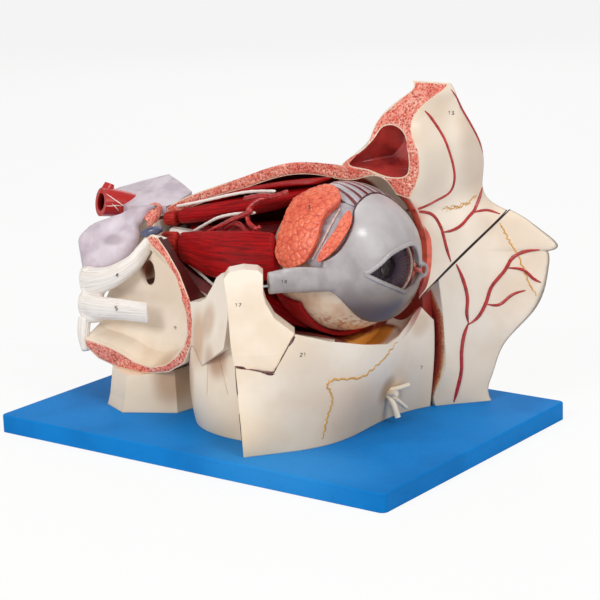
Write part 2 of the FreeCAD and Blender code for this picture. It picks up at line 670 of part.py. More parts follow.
# ---------------------------------------------------------------- eyelids and tear gland
lid_outline = [(3, 61), (20, 59), (30, 50), (35, 38), (38, 24), (37, 12), (34, 4), (33, -2), (35, -7),
               (33, -13), (35, -18), (37, -24), (35, -32), (28, -38), (16, -42), (-2, -44), (-24, -40),
               (-36, -31), (-43, -22), (-49, -15), (-57, -10), (-66, -3), (-63, 7), (-55, 12), (-47, 17),
               (-40, 26), (-34, 38), (-31, 48), (-17, 57)]
slit_outline = [(-28, 1), (-22, 3), (-17, 7), (-7, 13), (6, 16), (18, 16), (24, 12), (27, 5), (28, -1),
                (32, -3), (34, -7), (31, -11), (26, -13), (21, -16), (14, -17), (7, -17.5), (-3, -13),
                (-17, -6)]
gland_large_outline = [(-112, 50), (-96, 64), (-66, 71), (-48, 64), (-45, 56), (-57, 45), (-61, 36), (-62, 27),
                       (-65, 18), (-71, 9), (-90, 5), (-98, 13), (-104, 21), (-109, 34)]
gland_small_outline = [(-36, 45), (-35, 39), (-42, 27), (-51, 16), (-61, 10), (-58, 19), (-48, 33), (-41, 43)]
septum_outline = [(-88, 30), (-84, 45), (-70, 57), (-50, 57), (-30, 57), (-20, 48), (-28, 30), (-40, 10),
                  (-46, 2), (-66, 6), (-84, 14)]
tendon_outline = [(-58, 70), (-44, 60), (-24, 52), (0, 54), (24, 52), (38, 40), (46, 42), (54, 58), (80, 72),
                  (120, 80), (-140, 82), (-90, 78)]


def lid_pieces(cornea_ahead):
    pieces = {}
    lid_region = sight_cone(lid_outline, (-2, 6))
    shell = ball(lid_outer_radius).cut(ball(lid_inner_radius)).common(lid_region)
    shell = shell.cut(ball(cornea_curve_radius + 0.7, cornea_ahead)).cut(sight_cone(slit_outline, (8, 0)))
    loop_centre = eye_point(33, -7, 50.6)
    loop = Part.makeTorus(4.5, 1.3, loop_centre, eye_direction(-10, 6))
    side_corner = eye_direction(-28, 1)
    nose_corner = eye_direction(33, -7)
    open_side = half_space(loop_centre - nasal * 2.2, nasal * -1)
    lids = shell.fuse(loop.cut(open_side))
    split = side_corner.cross(nose_corner).normalize()
    pieces["upper_lid"] = lids.cut(half_space(globe, split * -1))
    pieces["lower_lid"] = lids.cut(half_space(globe, split))
    large_region = sight_cone(gland_large_outline, (-80, 36))
    small_region = sight_cone(gland_small_outline, (-48, 28))
    behind_gland = half_space((muscle_end + 0.4, 0, 0), (-1, 0, 0))
    thick = ball(gland_outer_radius).cut(ball(septum_radius)).cut(behind_gland)
    pieces["tear_gland_large"] = thick.common(large_region)
    pieces["tear_gland_small"] = thick.common(small_region).cut(lid_region)
    septum = ball(septum_radius).cut(ball(lid_inner_radius)).common(sight_cone(septum_outline, (-60, 36)))
    pieces["gland_sheet"] = septum.cut(lid_region).cut(behind_gland)
    sheet = ball(septum_radius + 0.8).cut(ball(lid_inner_radius)).common(sight_cone(tendon_outline, (0, 74)))
    sheet = sheet.cut(lid_region).cut(large_region).cut(pieces["gland_sheet"]).cut(behind_gland)
    pieces["lid_tendon"] = largest(sheet)
    band = strand([
        (84, -31, 117, 0.8, 6), (76, -38.2, 116.8, 1.4, 7.2), (68, -44.2, 116.8, 2.6, 7.9),
        (56, -51.5, 117, 3, 8.4), (50, -58, 117, 3, 7.9), (44.5, -67.5, 116.8, 2.8, 7.3),
    ])
    band = band.cut(ball(septum_radius)).cut(pieces["upper_lid"]).cut(pieces["lower_lid"])
    pin = Part.makeCylinder(0.9, 9.6, V(46.8, -62.5, 115.1), V(-4.7, -8.6, 0))
    pieces["corner_pin"] = pin
    pieces["corner_band"] = band.cut(pin)
    pieces["tear_caruncle"] = Part.makeSphere(2.6, eye_point(30, -7, 49.6)).cut(loop)
    return pieces


def make_cheek_nerve():
    twigs = [
        tube([(78, 8.5, 33.5), (83, 14, 34), (85.5, 25, 34)], 1.6),
        tube([(78, 9, 32), (84.5, 8.5, 26), (87, 9.5, 16.5)], 1.9),
        tube([(78, 11, 31), (82.8, 16, 25.5), (84.2, 23.5, 19)], 1.4),
        Part.makeCylinder(2.1, 8, V(79, 9, 31.8), V(7, 0, 0.6)),
    ]
    return twigs[0].fuse(twigs[1:])


# ---------------------------------------------------------------- assembly
def build():
    parts = {}
    holes = screw_holes()
    side_wing = make_side_wing()
    parts["nerve_ganglion"] = make_nerve_ganglion()
    parts["upper_nerve_trunk"] = make_upper_trunk()
    parts["lower_nerve_trunk"] = make_lower_trunk().cut(parts["upper_nerve_trunk"])
    parts["jaw_nerve_trunk"] = make_jaw_trunk().cut(parts["lower_nerve_trunk"])
    parts["carotid_artery"] = make_carotid()
    parts["orbit_vein"] = make_orbit_vein()
    parts.update(make_muscles())
    parts["optic_nerve"] = strand(optic_nerve_line).cut(ball(sclera_radius))
    parts["inner_rectus"] = parts["inner_rectus"].cut(parts["optic_nerve"])
    soft_pieces = Part.makeCompound(list(parts.values()))

    parts["base_board"] = make_base_board().cut(holes)
    parts["fixing_screws"] = make_screws()
    parts["lesser_wing"] = make_lesser_wing().cut(soft_pieces)
    parts["frontal_bone"] = make_frontal_bone().cut(soft_pieces).cut(parts["lesser_wing"])
    parts["nasal_bone"] = make_nasal_bone().cut(holes)
    front_bones = Part.makeCompound([parts["frontal_bone"], parts["nasal_bone"]])
    parts["orbit_wall"] = largest(make_orbit_wall(front_bones).cut(soft_pieces))
    cheek = make_cheek_bone().cut(parts["orbit_wall"]).cut(parts["nasal_bone"])
    parts["cheek_bone"] = cheek.cut(holes)
    parts["cheek_process"] = make_cheek_process()
    parts["temple_wing"] = side_wing
    sphenoid = make_sphenoid(side_wing).cut(parts["orbit_wall"]).cut(parts["lesser_wing"]).cut(soft_pieces)
    jaw = make_upper_jaw(cheek, side_wing).cut(parts["orbit_wall"]).cut(sphenoid)
    parts["upper_jaw"] = largest(jaw).cut(holes)
    parts["sphenoid_bone"] = sphenoid
    parts["support_column"] = make_support_column(sphenoid).cut(holes)
    parts["dura_plate"] = largest(make_dura_plate(sphenoid).cut(soft_pieces).cut(parts["lesser_wing"]))
    parts["orbit_nerves"] = tube_group(nerve_routes, 1.3)
    parts["orbit_arteries"] = tube_group(artery_routes, 1.6)
    parts["cheek_nerve"] = make_cheek_nerve().cut(parts["cheek_bone"])
    eyeball, cornea_ahead = eyeball_pieces()
    parts.update(eyeball)
    parts.update(lid_pieces(cornea_ahead))
    return parts


os.makedirs("parts", exist_ok=True)
for node, solid in build().items():
    solid.exportStep("parts/" + node + ".step")
    print(node, len(solid.Solids), round(solid.Volume), "valid" if solid.isValid() else "NOT VALID")
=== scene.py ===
import math

import bpy
import numpy as np
from mathutils import Matrix, Vector, noise
from mathutils.bvhtree import BVHTree
from mathutils.geometry import delaunay_2d_cdt


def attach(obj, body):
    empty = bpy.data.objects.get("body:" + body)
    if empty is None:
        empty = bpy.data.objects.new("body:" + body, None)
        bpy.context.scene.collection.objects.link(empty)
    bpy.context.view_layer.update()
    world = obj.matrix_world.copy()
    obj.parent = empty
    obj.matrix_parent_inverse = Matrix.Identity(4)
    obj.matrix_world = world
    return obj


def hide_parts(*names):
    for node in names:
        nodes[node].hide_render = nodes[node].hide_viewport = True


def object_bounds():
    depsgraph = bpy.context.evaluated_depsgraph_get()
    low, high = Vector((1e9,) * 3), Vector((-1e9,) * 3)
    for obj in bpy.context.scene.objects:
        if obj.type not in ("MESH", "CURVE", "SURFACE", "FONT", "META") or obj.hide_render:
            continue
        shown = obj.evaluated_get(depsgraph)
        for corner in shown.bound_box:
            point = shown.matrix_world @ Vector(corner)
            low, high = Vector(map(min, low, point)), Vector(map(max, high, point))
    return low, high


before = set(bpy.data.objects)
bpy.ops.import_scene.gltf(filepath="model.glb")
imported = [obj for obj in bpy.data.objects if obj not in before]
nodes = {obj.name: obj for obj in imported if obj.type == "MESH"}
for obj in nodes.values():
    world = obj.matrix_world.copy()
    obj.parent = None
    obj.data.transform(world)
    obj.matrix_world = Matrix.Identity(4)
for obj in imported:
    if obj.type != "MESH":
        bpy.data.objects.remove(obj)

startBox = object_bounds()
mm = 0.001


# camera, lamps and floor
cameraSetup = {
    "place": (0.7600, -0.9973, 0.3926),
    "azimuth": 36.64,
    "elevation": 13.75,
    "roll": -1.8455,
    "lens": 117.285,
    "film": 36.0,
    "frame": 600,
}


def cameraAxes(setup):
    azimuth, elevation, roll = (math.radians(setup[k]) for k in ("azimuth", "elevation", "roll"))
    flat = math.cos(elevation)
    back = Vector((math.sin(azimuth) * flat, -math.cos(azimuth) * flat, math.sin(elevation)))
    side = Vector((math.cos(azimuth), math.sin(azimuth), 0))
    up = back.cross(side)
    right = side * math.cos(roll) + up * math.sin(roll)
    return right, up * math.cos(roll) - side * math.sin(roll), back


def makeCamera(setup):
    lens = bpy.data.cameras.new("camera")
    lens.lens = setup["lens"]
    lens.sensor_width = setup["film"]
    lens.clip_end = 20
    camera = bpy.data.objects.new("camera", lens)
    right, up, back = cameraAxes(setup)
    turn = Matrix((right, up, back)).transposed().to_4x4()
    camera.matrix_world = Matrix.Translation(setup["place"]) @ turn
    bpy.context.scene.collection.objects.link(camera)
    bpy.context.scene.camera = camera


def sightLine(u, v):
    right, up, back = cameraAxes(cameraSetup)
    reach = cameraSetup["lens"] / cameraSetup["film"] * cameraSetup["frame"]
    middle = cameraSetup["frame"] / 2
    return (right * (u - middle) - up * (v - middle) - back * reach).normalized()


lamps = {
    "frontLeft": {"place": (-0.1, -1.8, 1.15), "size": 0.8, "power": 18},
    "frontRight": {"place": (1.9, -0.2, 0.8), "size": 0.9, "power": 6},
    "besideCamera": {"place": (1.34, -0.45, 1.5), "size": 0.34, "power": 6.6},
    "above": {"place": (0.1, 0.0, 1.8), "size": 1.0, "power": 7},
    "behind": {"place": (-1.0, 1.5, 1.0), "size": 1.2, "power": 5},
}


def makeLamps():
    for name, lamp in lamps.items():
        light = bpy.data.lights.new(name, "AREA")
        light.size = lamp["size"]
        light.energy = lamp["power"]
        holder = bpy.data.objects.new(name, light)
        aim = Vector((0, 0, 0.1)) - Vector(lamp["place"])  # at the middle of the model
        turn = aim.to_track_quat("-Z", "Y").to_matrix().to_4x4()
        holder.matrix_world = Matrix.Translation(lamp["place"]) @ turn
        bpy.context.scene.collection.objects.link(holder)


# shader tools
def tint(code):
    channels = [int(code[i:i + 2], 16) / 255 for i in (0, 2, 4)]
    linear = [c / 12.92 if c <= 0.04045 else ((c + 0.055) / 1.055) ** 2.4 for c in channels]
    return (*linear, 1.0)


class Wire:  # a node's output, with arithmetic
    def __init__(self, graph, socket):
        self.graph = graph
        self.socket = socket

    def maths(self, operation, first, second=0.0):
        return self.graph.node("ShaderNodeMath", {"operation": operation}, {0: first, 1: second})

    def __add__(self, other):
        return self.maths("ADD", self, other)

    def __radd__(self, other):
        return self.maths("ADD", other, self)

    def __sub__(self, other):
        return self.maths("SUBTRACT", self, other)

    def __rsub__(self, other):
        return self.maths("SUBTRACT", other, self)

    def __mul__(self, other):
        return self.maths("MULTIPLY", self, other)

    def __rmul__(self, other):
        return self.maths("MULTIPLY", other, self)

    def __truediv__(self, other):
        return self.maths("DIVIDE", self, other)

    def __rtruediv__(self, other):
        return self.maths("DIVIDE", other, self)

    def __pow__(self, other):
        return self.maths("POWER", self, other)

    def __rpow__(self, other):
        return self.maths("POWER", other, self)

    def size(self):
        return self.maths("ABSOLUTE", self)

    def wave(self):
        return self.maths("SINE", self)

    def least(self, other):
        return self.maths("MINIMUM", self, other)

    def most(self, other):
        return self.maths("MAXIMUM", self, other)

    def turnFrom(self, other):
        return self.maths("ARCTAN2", self, other)

    def rise(self, low, high):  # 0 below low, 1 above high, eased between
        return self.graph.node("ShaderNodeMapRange", {"interpolation_type": "SMOOTHSTEP"},
                               {"Value": self, "From Min": low, "From Max": high})

    def fall(self, low, high):
        return 1 - self.rise(low, high)


class Graph:  # the nodes of a material or of the world
    def __init__(self, tree):
        self.tree = tree

    def node(self, kind, settings=None, sockets=None, out=0):
        made = self.tree.nodes.new(kind)
        for key, value in (settings or {}).items():
            setattr(made, key, value)
        return self.fill(made, sockets or {}, out)

    def fill(self, made, sockets, out=0):
        for key, value in sockets.items():
            self.feed(made.inputs[key], value)
        return Wire(self, made.outputs[out])

    def feed(self, socket, value):
        if isinstance(value, Wire):
            self.tree.links.new(value.socket, socket)
        else:
            socket.default_value = value


class Finish(Graph):
    def __init__(self, name, slot, **fixed):
        self.material = bpy.data.materials.new(name)
        self.material.use_nodes = True
        super().__init__(self.material.node_tree)
        self.shader = self.tree.nodes["Principled BSDF"]
        self.slot = slot
        self.set(**fixed)
        metres = self.node("ShaderNodeTexCoord", out="Object")
        self.place = self.vector("SCALE", {0: metres, "Scale": 1000})

    def set(self, **sockets):
        for socket, value in sockets.items():
            self.feed(self.shader.inputs[socket.replace("_", " ")], value)

    def vector(self, operation, sockets, out=0):
        return self.node("ShaderNodeVectorMath", {"operation": operation}, sockets, out)

    def stretched(self, vector, sizes):
        return self.vector("MULTIPLY", {0: vector, 1: sizes})

    def offsetFrom(self, point):
        return self.vector("SUBTRACT", {0: self.place, 1: tuple(point)})

    def length(self, vector):
        return self.vector("LENGTH", {0: vector}, "Value")

    def scaledAway(self, point, sizes):  # distance from a point in units of the given half widths
        shares = tuple(1 / size for size in sizes)
        return self.length(self.stretched(self.offsetFrom(point), shares))

    def along(self, direction, vector=None):
        return self.vector("DOT_PRODUCT", {0: vector or self.place, 1: tuple(direction)}, "Value")

    def axes(self):
        return [self.along(d) for d in ((1, 0, 0), (0, 1, 0), (0, 0, 1))]

    def facing(self, direction):
        normal = self.node("ShaderNodeTexCoord", out="Normal")
        return self.along(Vector(direction).normalized(), normal)

    def held(self, name):
        return self.node("ShaderNodeAttribute", {"attribute_name": name}, out="Fac")

    def unwrapped(self):
        return self.node("ShaderNodeUVMap")

    def mix(self, factor, first, second):  # a colour is a wire or a code such as "f5e8d7"
        first, second = (tint(c) if isinstance(c, str) else c for c in (first, second))
        sockets = {0: factor, 6: first, 7: second}
        return self.node("ShaderNodeMix", {"data_type": "RGBA"}, sockets, 2)

    def layers(self, colour, *coats):  # each coat: how much of it shows, and its colour
        for share, coat in coats:
            colour = self.mix(share, colour, coat)
        return colour

    def cover(self, colour, *coats):
        self.set(Base_Color=self.layers(colour, *coats))

    def grain(self, size, detail=3.0, vector=None, rough=0.5):
        sockets = {"Vector": vector or self.place, "Scale": 1 / size, "Detail": detail}
        return self.node("ShaderNodeTexNoise", None, {**sockets, "Roughness": rough})

    def cells(self, size, feature="F1"):
        sockets = {"Vector": self.place, "Scale": 1 / size}
        return self.node("ShaderNodeTexVoronoi", {"feature": feature}, sockets, "Distance")

    def bump(self, height, depth, strength=1.0, edge=0.0):  # depth and edge in millimetres
        sockets = {"Height": height, "Distance": depth * mm, "Strength": strength}
        if edge:
            sockets["Normal"] = self.node("ShaderNodeBevel", {"samples": 4}, {"Radius": edge * mm})
        self.set(Normal=self.node("ShaderNodeBump", None, sockets))


def dress(node, finish):
    materials = nodes[node].data.materials
    if not len(materials):
        materials.append(finish.material)
    for i in range(len(materials)):
        materials[i] = finish.material


# directions of the eye, in millimetres from the board's centre
eyeCentre = Vector((51, 5, 119))
gaze = Vector((math.cos(math.radians(-12)), math.sin(math.radians(-12)), 0))
noseward = Vector((-gaze.y, gaze.x, 0))
upward = Vector((0, 0, 1))


def eyePoint(turn, lift, radius):
    a, b = math.radians(turn), math.radians(lift)
    ahead, inward = math.cos(b) * math.cos(a), math.cos(b) * math.sin(a)
    return eyeCentre + (gaze * ahead + noseward * inward + upward * math.sin(b)) * radius


# mesh tools: lengths are millimetres until addPiece
def addPiece(name, points, faces, finish, body, replaces=(), uv=None, marks=None, flat=False):
    mesh = bpy.data.meshes.new(name)
    mesh.from_pydata([Vector(p) * mm for p in points], [], faces)
    mesh.materials.append(finish.material)
    if not flat:
        mesh.polygons.foreach_set("use_smooth", [True] * len(mesh.polygons))
    if uv:
        layer = mesh.uv_layers.new(name="UVMap")
        for loop in mesh.loops:
            layer.data[loop.index].uv = uv[loop.vertex_index]
    for mark, values in (marks or {}).items():
        mesh.attributes.new(mark, "FLOAT", "POINT").data.foreach_set("value", values)
    mesh.update()
    piece = bpy.data.objects.new(name, mesh)
    bpy.context.scene.collection.objects.link(piece)
    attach(piece, body)
    if replaces:
        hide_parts(*replaces)
    return piece


def smoothLine(points, steps):
    made = []
    last = len(points) - 1
    for i in range(last):
        a, b = np.array(points[max(i - 1, 0)], float), np.array(points[i], float)
        c, d = np.array(points[i + 1], float), np.array(points[min(i + 2, last)], float)
        for k in range(steps):
            t = k / steps
            bend = (c - a) * t + (2 * a - 5 * b + 4 * c - d) * t * t
            bend += (3 * b - a - 3 * c + d) * t ** 3
            made.append(b + bend * 0.5)
    made.append(np.array(points[-1], float))
    return made


def tubeFaces(first, rings, around, clockwise=False):  # sides and both ends of a tube of rings
    faces = []
    for i in range(rings - 1):
        for k in range(around):
            a, b = first + i * around + k, first + i * around + (k + 1) % around
            side = (a, b, b + around, a + around)
            faces.append(side[:1] + side[:0:-1] if clockwise else side)
    last = first + (rings - 1) * around
    start, end = tuple(range(first, first + around)), tuple(range(last, last + around))
    return faces + ([start, end[::-1]] if clockwise else [start[::-1], end])


strandShape = {  # where a strand's own dictionary doesn't say otherwise
    "steps": 12,  # rings between two given points
    "around": 96,  # points in a ring
    "up": (0, 0, 1),
    "blunt": 1.5,  # length of the rounded ends
    "taper": 0.45,  # how much thinner they are at their tips
    "seed": 0.0,
    "wander": 4,  # how far the ridges stray sideways
    "drift": (0.02, 1.3),  # how fast they do so, along and around
    "splits": 0.8,  # share of the depth in the odd fissures
    "fissures": (0.05, 4),  # how close together these are, along and around
}


def makeStrand(name, shape, finish, body, replaces=()):
    shape = {**strandShape, **shape}
    line = smoothLine(shape["line"], shape["steps"])
    up, seed = Vector(shape["up"]), shape["seed"]
    around, ridges, depth = shape["around"], shape["ridges"], shape["depth"]
    run = [0.0]
    for before, after in zip(line, line[1:]):
        run.append(run[-1] + float(np.linalg.norm(after[:3] - before[:3])))
    points, uv, grooves = [], [], []
    count = len(line)
    for i, (x, y, z, side, tall) in enumerate(line):
        ahead = Vector(line[min(i + 1, count - 1)][:3]) - Vector(line[max(i - 1, 0)][:3])
        across = ahead.normalized().cross(up).normalized()
        above = across.cross(ahead.normalized())
        end = min(run[i], run[-1] - run[i]) / shape["blunt"]
        taper = shape["taper"]
        close = math.sqrt(max(0.0, 1 - (1 - min(end, 1)) ** 2)) * taper + (1 - taper)
        for k in range(around):
            angle = 2 * math.pi * k / around
            c, s = math.cos(angle), math.sin(angle)
            far, near = shape["drift"]
            stray = noise.noise(Vector((run[i] * far, c * near + seed, s * near)))
            ripple = abs(math.sin(ridges * angle / 2 + stray * shape["wander"]))
            valley = (1 - ripple) ** 2
            far, near = shape["fissures"]
            split = max(0.0, noise.noise(Vector((run[i] * far, c * near, s * near + seed))))
            groove = min(1.0, valley + split * shape["splits"])
            inset = depth * groove
            points.append(Vector((x, y, z)) + across * c * (side - inset) * close
                          + above * s * (tall - inset) * close)
            uv.append((run[i] / 10, k / around * ridges))
            grooves.append(groove)
    faces = tubeFaces(0, count, around)
    return addPiece(name, points, faces, finish, body, replaces, uv, {"groove": grooves})


def makeTubes(name, shape, finish, body, replaces=()):
    points, faces, uv = [], [], []
    around, steps, uneven, endSize = 12, 10, 0.08, 0.6
    for route in shape["routes"]:
        line = smoothLine(route, steps)
        last = len(line) - 1
        first = len(points)
        for i, spot in enumerate(line):
            ahead = Vector(line[min(i + 1, last)]) - Vector(line[max(i - 1, 0)])
            ahead.normalize()
            if i == 0:
                across = ahead.orthogonal().normalized()
            else:
                across = (across - ahead * across.dot(ahead)).normalized()
            above = across.cross(ahead)
            thin = shape["radius"] * (endSize if i in (0, last) else 1 + uneven * math.sin(i * 1.7))
            for k in range(around):
                angle = 2 * math.pi * k / around
                out = across * math.cos(angle) + above * math.sin(angle)
                points.append(Vector(spot) + out * thin)
                uv.append((i * 0.2, k / around))
        faces.extend(tubeFaces(first, len(line), around, clockwise=True))
    return addPiece(name, points, faces, finish, body, replaces, uv)


def joinedMesh(names):  # points in metres, and faces, of several nodes
    points, faces = [], []
    for name in names:
        mesh = nodes[name].data
        first = len(points)
        points.extend(v.co for v in mesh.vertices)
        faces.extend([first + i for i in p.vertices] for p in mesh.polygons)
    return points, faces


class Surface:
    def __init__(self, *names):
        self.tree = BVHTree.FromPolygons(*joinedMesh(names))

    def seen(self, u, v):  # where the sight line through a place in the camera's frame meets it
        spot, normal = self.tree.ray_cast(Vector(cameraSetup["place"]), sightLine(u, v))[:2]
        return (spot / mm, normal) if spot else None

    def nearest(self, point):
        return self.tree.find_nearest(Vector(point) * mm)[0] / mm


def drawLines(name, shape, surface, finish, body):
    points, faces, uv = [], [], []
    around, tip, widening, uneven = 8, 0.35, 0.12, 0.12
    for width, route in shape["lines"]:
        swing = shape.get("swing", 0)
        route = [(u + swing * math.sin(i * 2.1), v + swing * math.cos(i * 1.7))
                 for i, (u, v) in enumerate(smoothLine(route, 6))]
        hits = [surface.seen(*spot) for spot in route]
        hits = [h for h in hits if h]
        if len(hits) < 3:
            print(name, "line off the surface", route[0])
            continue
        spots = [Vector(h[0]) for h in hits]
        for turn in range(0 if swing else 2):  # sutures keep their zigzag
            inner = [(a + b * 2 + c) / 4 for a, b, c in zip(spots, spots[1:], spots[2:])]
            spots = [spots[0], *inner, spots[-1]]
        spots = [surface.nearest(s) for s in spots]
        normals = [h[1] for h in hits]
        first = len(points)
        last = len(spots) - 1
        for i, spot in enumerate(spots):
            near = normals[max(i - 2, 0):i + 3]
            normal = sum(near, Vector()) / len(near)
            ahead = (spots[min(i + 1, last)] - spots[max(i - 1, 0)]).normalized()
            across = ahead.cross(normal).normalized()
            taper = min(1.0, tip + min(i, last - i) * widening)
            half = width / 2 * taper * (1 + uneven * noise.noise(spot * 0.3))
            tall = shape["tall"] * width * taper
            for k in range(around):
                angle = 2 * math.pi * k / around
                low = spot + across * math.cos(angle) * half
                points.append(low + normal * math.sin(angle) * tall)
                uv.append((i * 0.2, k / around))
        faces.extend(tubeFaces(first, len(spots), around))
    return addPiece(name, points, faces, finish, body, uv=uv)


def sectionOutline(node, origin, normal):  # edges round a flat face
    mesh = nodes[node].data
    counts = {}
    for face in mesh.polygons:
        away = abs((face.center / mm - origin).dot(normal))
        if face.normal.dot(normal) > sectionSkin["square"] and away < sectionSkin["near"]:
            corners = [tuple(round(c / mm, 2) for c in mesh.vertices[i].co) for i in face.vertices]
            for a, b in zip(corners, corners[1:] + corners[:1]):
                key = (min(a, b), max(a, b))
                counts[key] = counts.get(key, 0) + 1
    return [key for key, count in counts.items() if count == 1]


def fillOutline(outline, spacing):
    # triangles over a flat outline, and each point's distance from its rim
    flat, edges, index = [], [], {}

    def pointAt(p):
        key = (round(p[0], 2), round(p[1], 2))
        if key not in index:
            index[key] = len(flat)
            flat.append(Vector(key))
        return index[key]

    for a, b in outline:
        pieces = max(1, int(math.dist(a, b) / spacing))
        row = [pointAt((a[0] + (b[0] - a[0]) * k / pieces, a[1] + (b[1] - a[1]) * k / pieces))
               for k in range(pieces + 1)]
        edges.extend((m, n) for m, n in zip(row, row[1:]) if m != n)
    starts = np.array([flat[m] for m, n in edges])
    ends = np.array([flat[n] for m, n in edges])

    def inside(p):
        crossing = (starts[:, 1] > p[1]) != (ends[:, 1] > p[1])
        a, b = starts[crossing], ends[crossing]
        reach = a[:, 0] + (p[1] - a[:, 1]) * (b[:, 0] - a[:, 0]) / (b[:, 1] - a[:, 1])
        return np.count_nonzero(reach > p[0]) % 2 == 1

    def rimDistance(p):
        line = ends - starts
        t = np.clip(((p - starts) * line).sum(1) / np.maximum((line * line).sum(1), 1e-9), 0, 1)
        return float(np.sqrt((((starts + line * t[:, None]) - p) ** 2).sum(1).min()))

    low, high = starts.min(0), starts.max(0)
    for i, x in enumerate(np.arange(low[0], high[0], spacing)):
        for y in np.arange(low[1] + (i % 2) * spacing / 2, high[1], spacing):
            spot = np.array((x, y))
            if inside(spot) and rimDistance(spot) > spacing * 0.45:
                flat.append(Vector((x, y)))
    made = delaunay_2d_cdt(flat, edges, [], 0, 1e-4)
    spots = made[0]

    def middle(face):
        return np.array(sum((spots[i] for i in face), Vector((0, 0))) / len(face))

    faces = [face for face in made[2] if inside(middle(face))]
    return spots, faces, [rimDistance(np.array(p)) for p in spots]


def facedAlong(points, faces, normal):  # the same triangles, each wound to face along the normal
    def ahead(a, b, c):
        return (points[b] - points[a]).cross(points[c] - points[a]).dot(normal) > 0

    return [tuple(f) if ahead(*f[:3]) else tuple(reversed(f)) for f in faces]


class Plane:  # side and rise are its own two directions
    def __init__(self, origin, normal):
        self.origin, self.normal = Vector(origin), Vector(normal).normalized()
        self.side = self.normal.orthogonal().normalized()
        self.rise = self.normal.cross(self.side)

    def flat(self, point):
        away = Vector(point) - self.origin
        return away.dot(self.side), away.dot(self.rise)

    def solid(self, p, proud):
        return self.origin + self.side * p.x + self.rise * p.y + self.normal * proud

    def seen(self, u, v):  # where a sight line of the camera meets it
        eye, sight = Vector(cameraSetup["place"]) / mm, sightLine(u, v)
        far = (self.origin - eye).dot(self.normal) / sight.dot(self.normal)
        return eye + sight * far


def makeSection(name, shape, finish, body):  # grainy skin over a cut face, lowest at its rim
    plane = Plane(shape["origin"], shape["normal"])
    edges = sectionOutline(shape["node"], plane.origin, plane.normal)
    outline = [(plane.flat(a), plane.flat(b)) for a, b in edges]
    spots, faces, rims = fillOutline(outline, sectionSkin["spacing"])
    points = []
    for p, r in zip(spots, rims):
        grain = 0.75 + 0.5 * noise.noise(Vector((p.x, p.y, 0)) * 0.6)
        swell = sectionSkin["proud"] * min(1, r / sectionSkin["round"]) * grain
        points.append(plane.solid(p, sectionSkin["lift"] + swell))
        points[-1].z = min(points[-1].z, startBox[1][2] / mm)
    faces = facedAlong(points, faces, plane.normal)
    print(name, "section faces", len(faces))
    return addPiece(name, points, faces, finish, body, marks={"rim": rims})


lumps = {"spread": 0.07, "height": 1.2, "edge": 4}  # slow swellings, none within the edge


def makePillow(name, shape, finish, body, replaces=()):
    # plump sheet whose outline is given in the camera's frame
    plane = Plane(shape["anchor"], shape["lean"])
    normal, side, rise = plane.normal, plane.side, plane.rise
    loop = list(shape["outline"])
    smooth = smoothLine(loop[-2:] + loop + loop[:3], 4)[8:-8]
    corners = [plane.flat(plane.seen(u, v)) for u, v in smooth[:-1]]
    outline = list(zip(corners, corners[1:] + corners[:1]))
    spots, faces, rims = fillOutline(outline, shape["spacing"])
    points, marks = [], []
    for sheet, reach in ((1, shape["bulge"]), (-1, shape["thick"])):
        for p, r in zip(spots, rims):
            swell = math.sqrt(max(0.0, 1 - (1 - min(r / shape["round"], 1)) ** 2))
            lump = noise.noise(Vector((p.x, p.y, 3)) * lumps["spread"]) * lumps["height"]
            lump *= min(1, r / lumps["edge"])
            points.append(plane.solid(p, sheet * reach * swell + lump))
            marks.append(r)
    for dent, place, wide, tall in shape.get("dents", ()):
        middle = plane.seen(*place)
        for i in range(len(spots)):
            away = points[i] - middle
            level = (away.dot(side) / wide) ** 2 + (away.dot(rise) / tall) ** 2
            points[i] = points[i] - normal * dent * math.exp(-level)
    count = len(spots)
    front = facedAlong(points, faces, normal)
    back = [tuple(i + count if rims[i] > 1e-3 else i for i in reversed(f)) for f in front]
    used = sorted({i for f in front + back for i in f})
    order = {old: new for new, old in enumerate(used)}
    faces = [tuple(order[i] for i in f) for f in front + back]
    kept, rims = [points[i] for i in used], [marks[i] for i in used]
    return addPiece(name, kept, faces, finish, body, replaces, marks={"rim": rims})


def skinFaces(name, node, test, lift, finish, body):  # thin skin over the faces that pass a test
    mesh = nodes[node].data
    points, faces = [], []
    for face in mesh.polygons:
        if test(face.center / mm, face.normal):
            first = len(points)
            points.extend(mesh.vertices[i].co / mm + face.normal * lift for i in face.vertices)
            faces.append(tuple(range(first, len(points))))
    print(name, "skin faces", len(faces))
    return addPiece(name, points, faces, finish, body, flat=True)


def remeshed(names, voxel, smoothing=0):  # one closed skin over the given nodes
    joined = bpy.data.meshes.new("joined")
    points, faces = joinedMesh(names)
    joined.from_pydata(points, [], faces)
    copy = bpy.data.objects.new("working", joined)
    bpy.context.scene.collection.objects.link(copy)
    weld = copy.modifiers.new("weld", "WELD")
    weld.merge_threshold = 0.05 * mm
    remesh = copy.modifiers.new("remesh", "REMESH")
    remesh.mode = "VOXEL"
    remesh.voxel_size = voxel * mm
    if smoothing:
        soften = copy.modifiers.new("soften", "SMOOTH")
        soften.factor = 0.5
        soften.iterations = smoothing
    bpy.context.view_layer.update()
    evaluated = copy.evaluated_get(bpy.context.evaluated_depsgraph_get())
    mesh = bpy.data.meshes.new_from_object(evaluated)
    bpy.data.objects.remove(copy)
    points = [v.co / mm for v in mesh.vertices]
    normals = [v.normal.copy() for v in mesh.vertices]
    faces = [tuple(p.vertices) for p in mesh.polygons]
    bpy.data.meshes.remove(mesh)
    return points, normals, faces


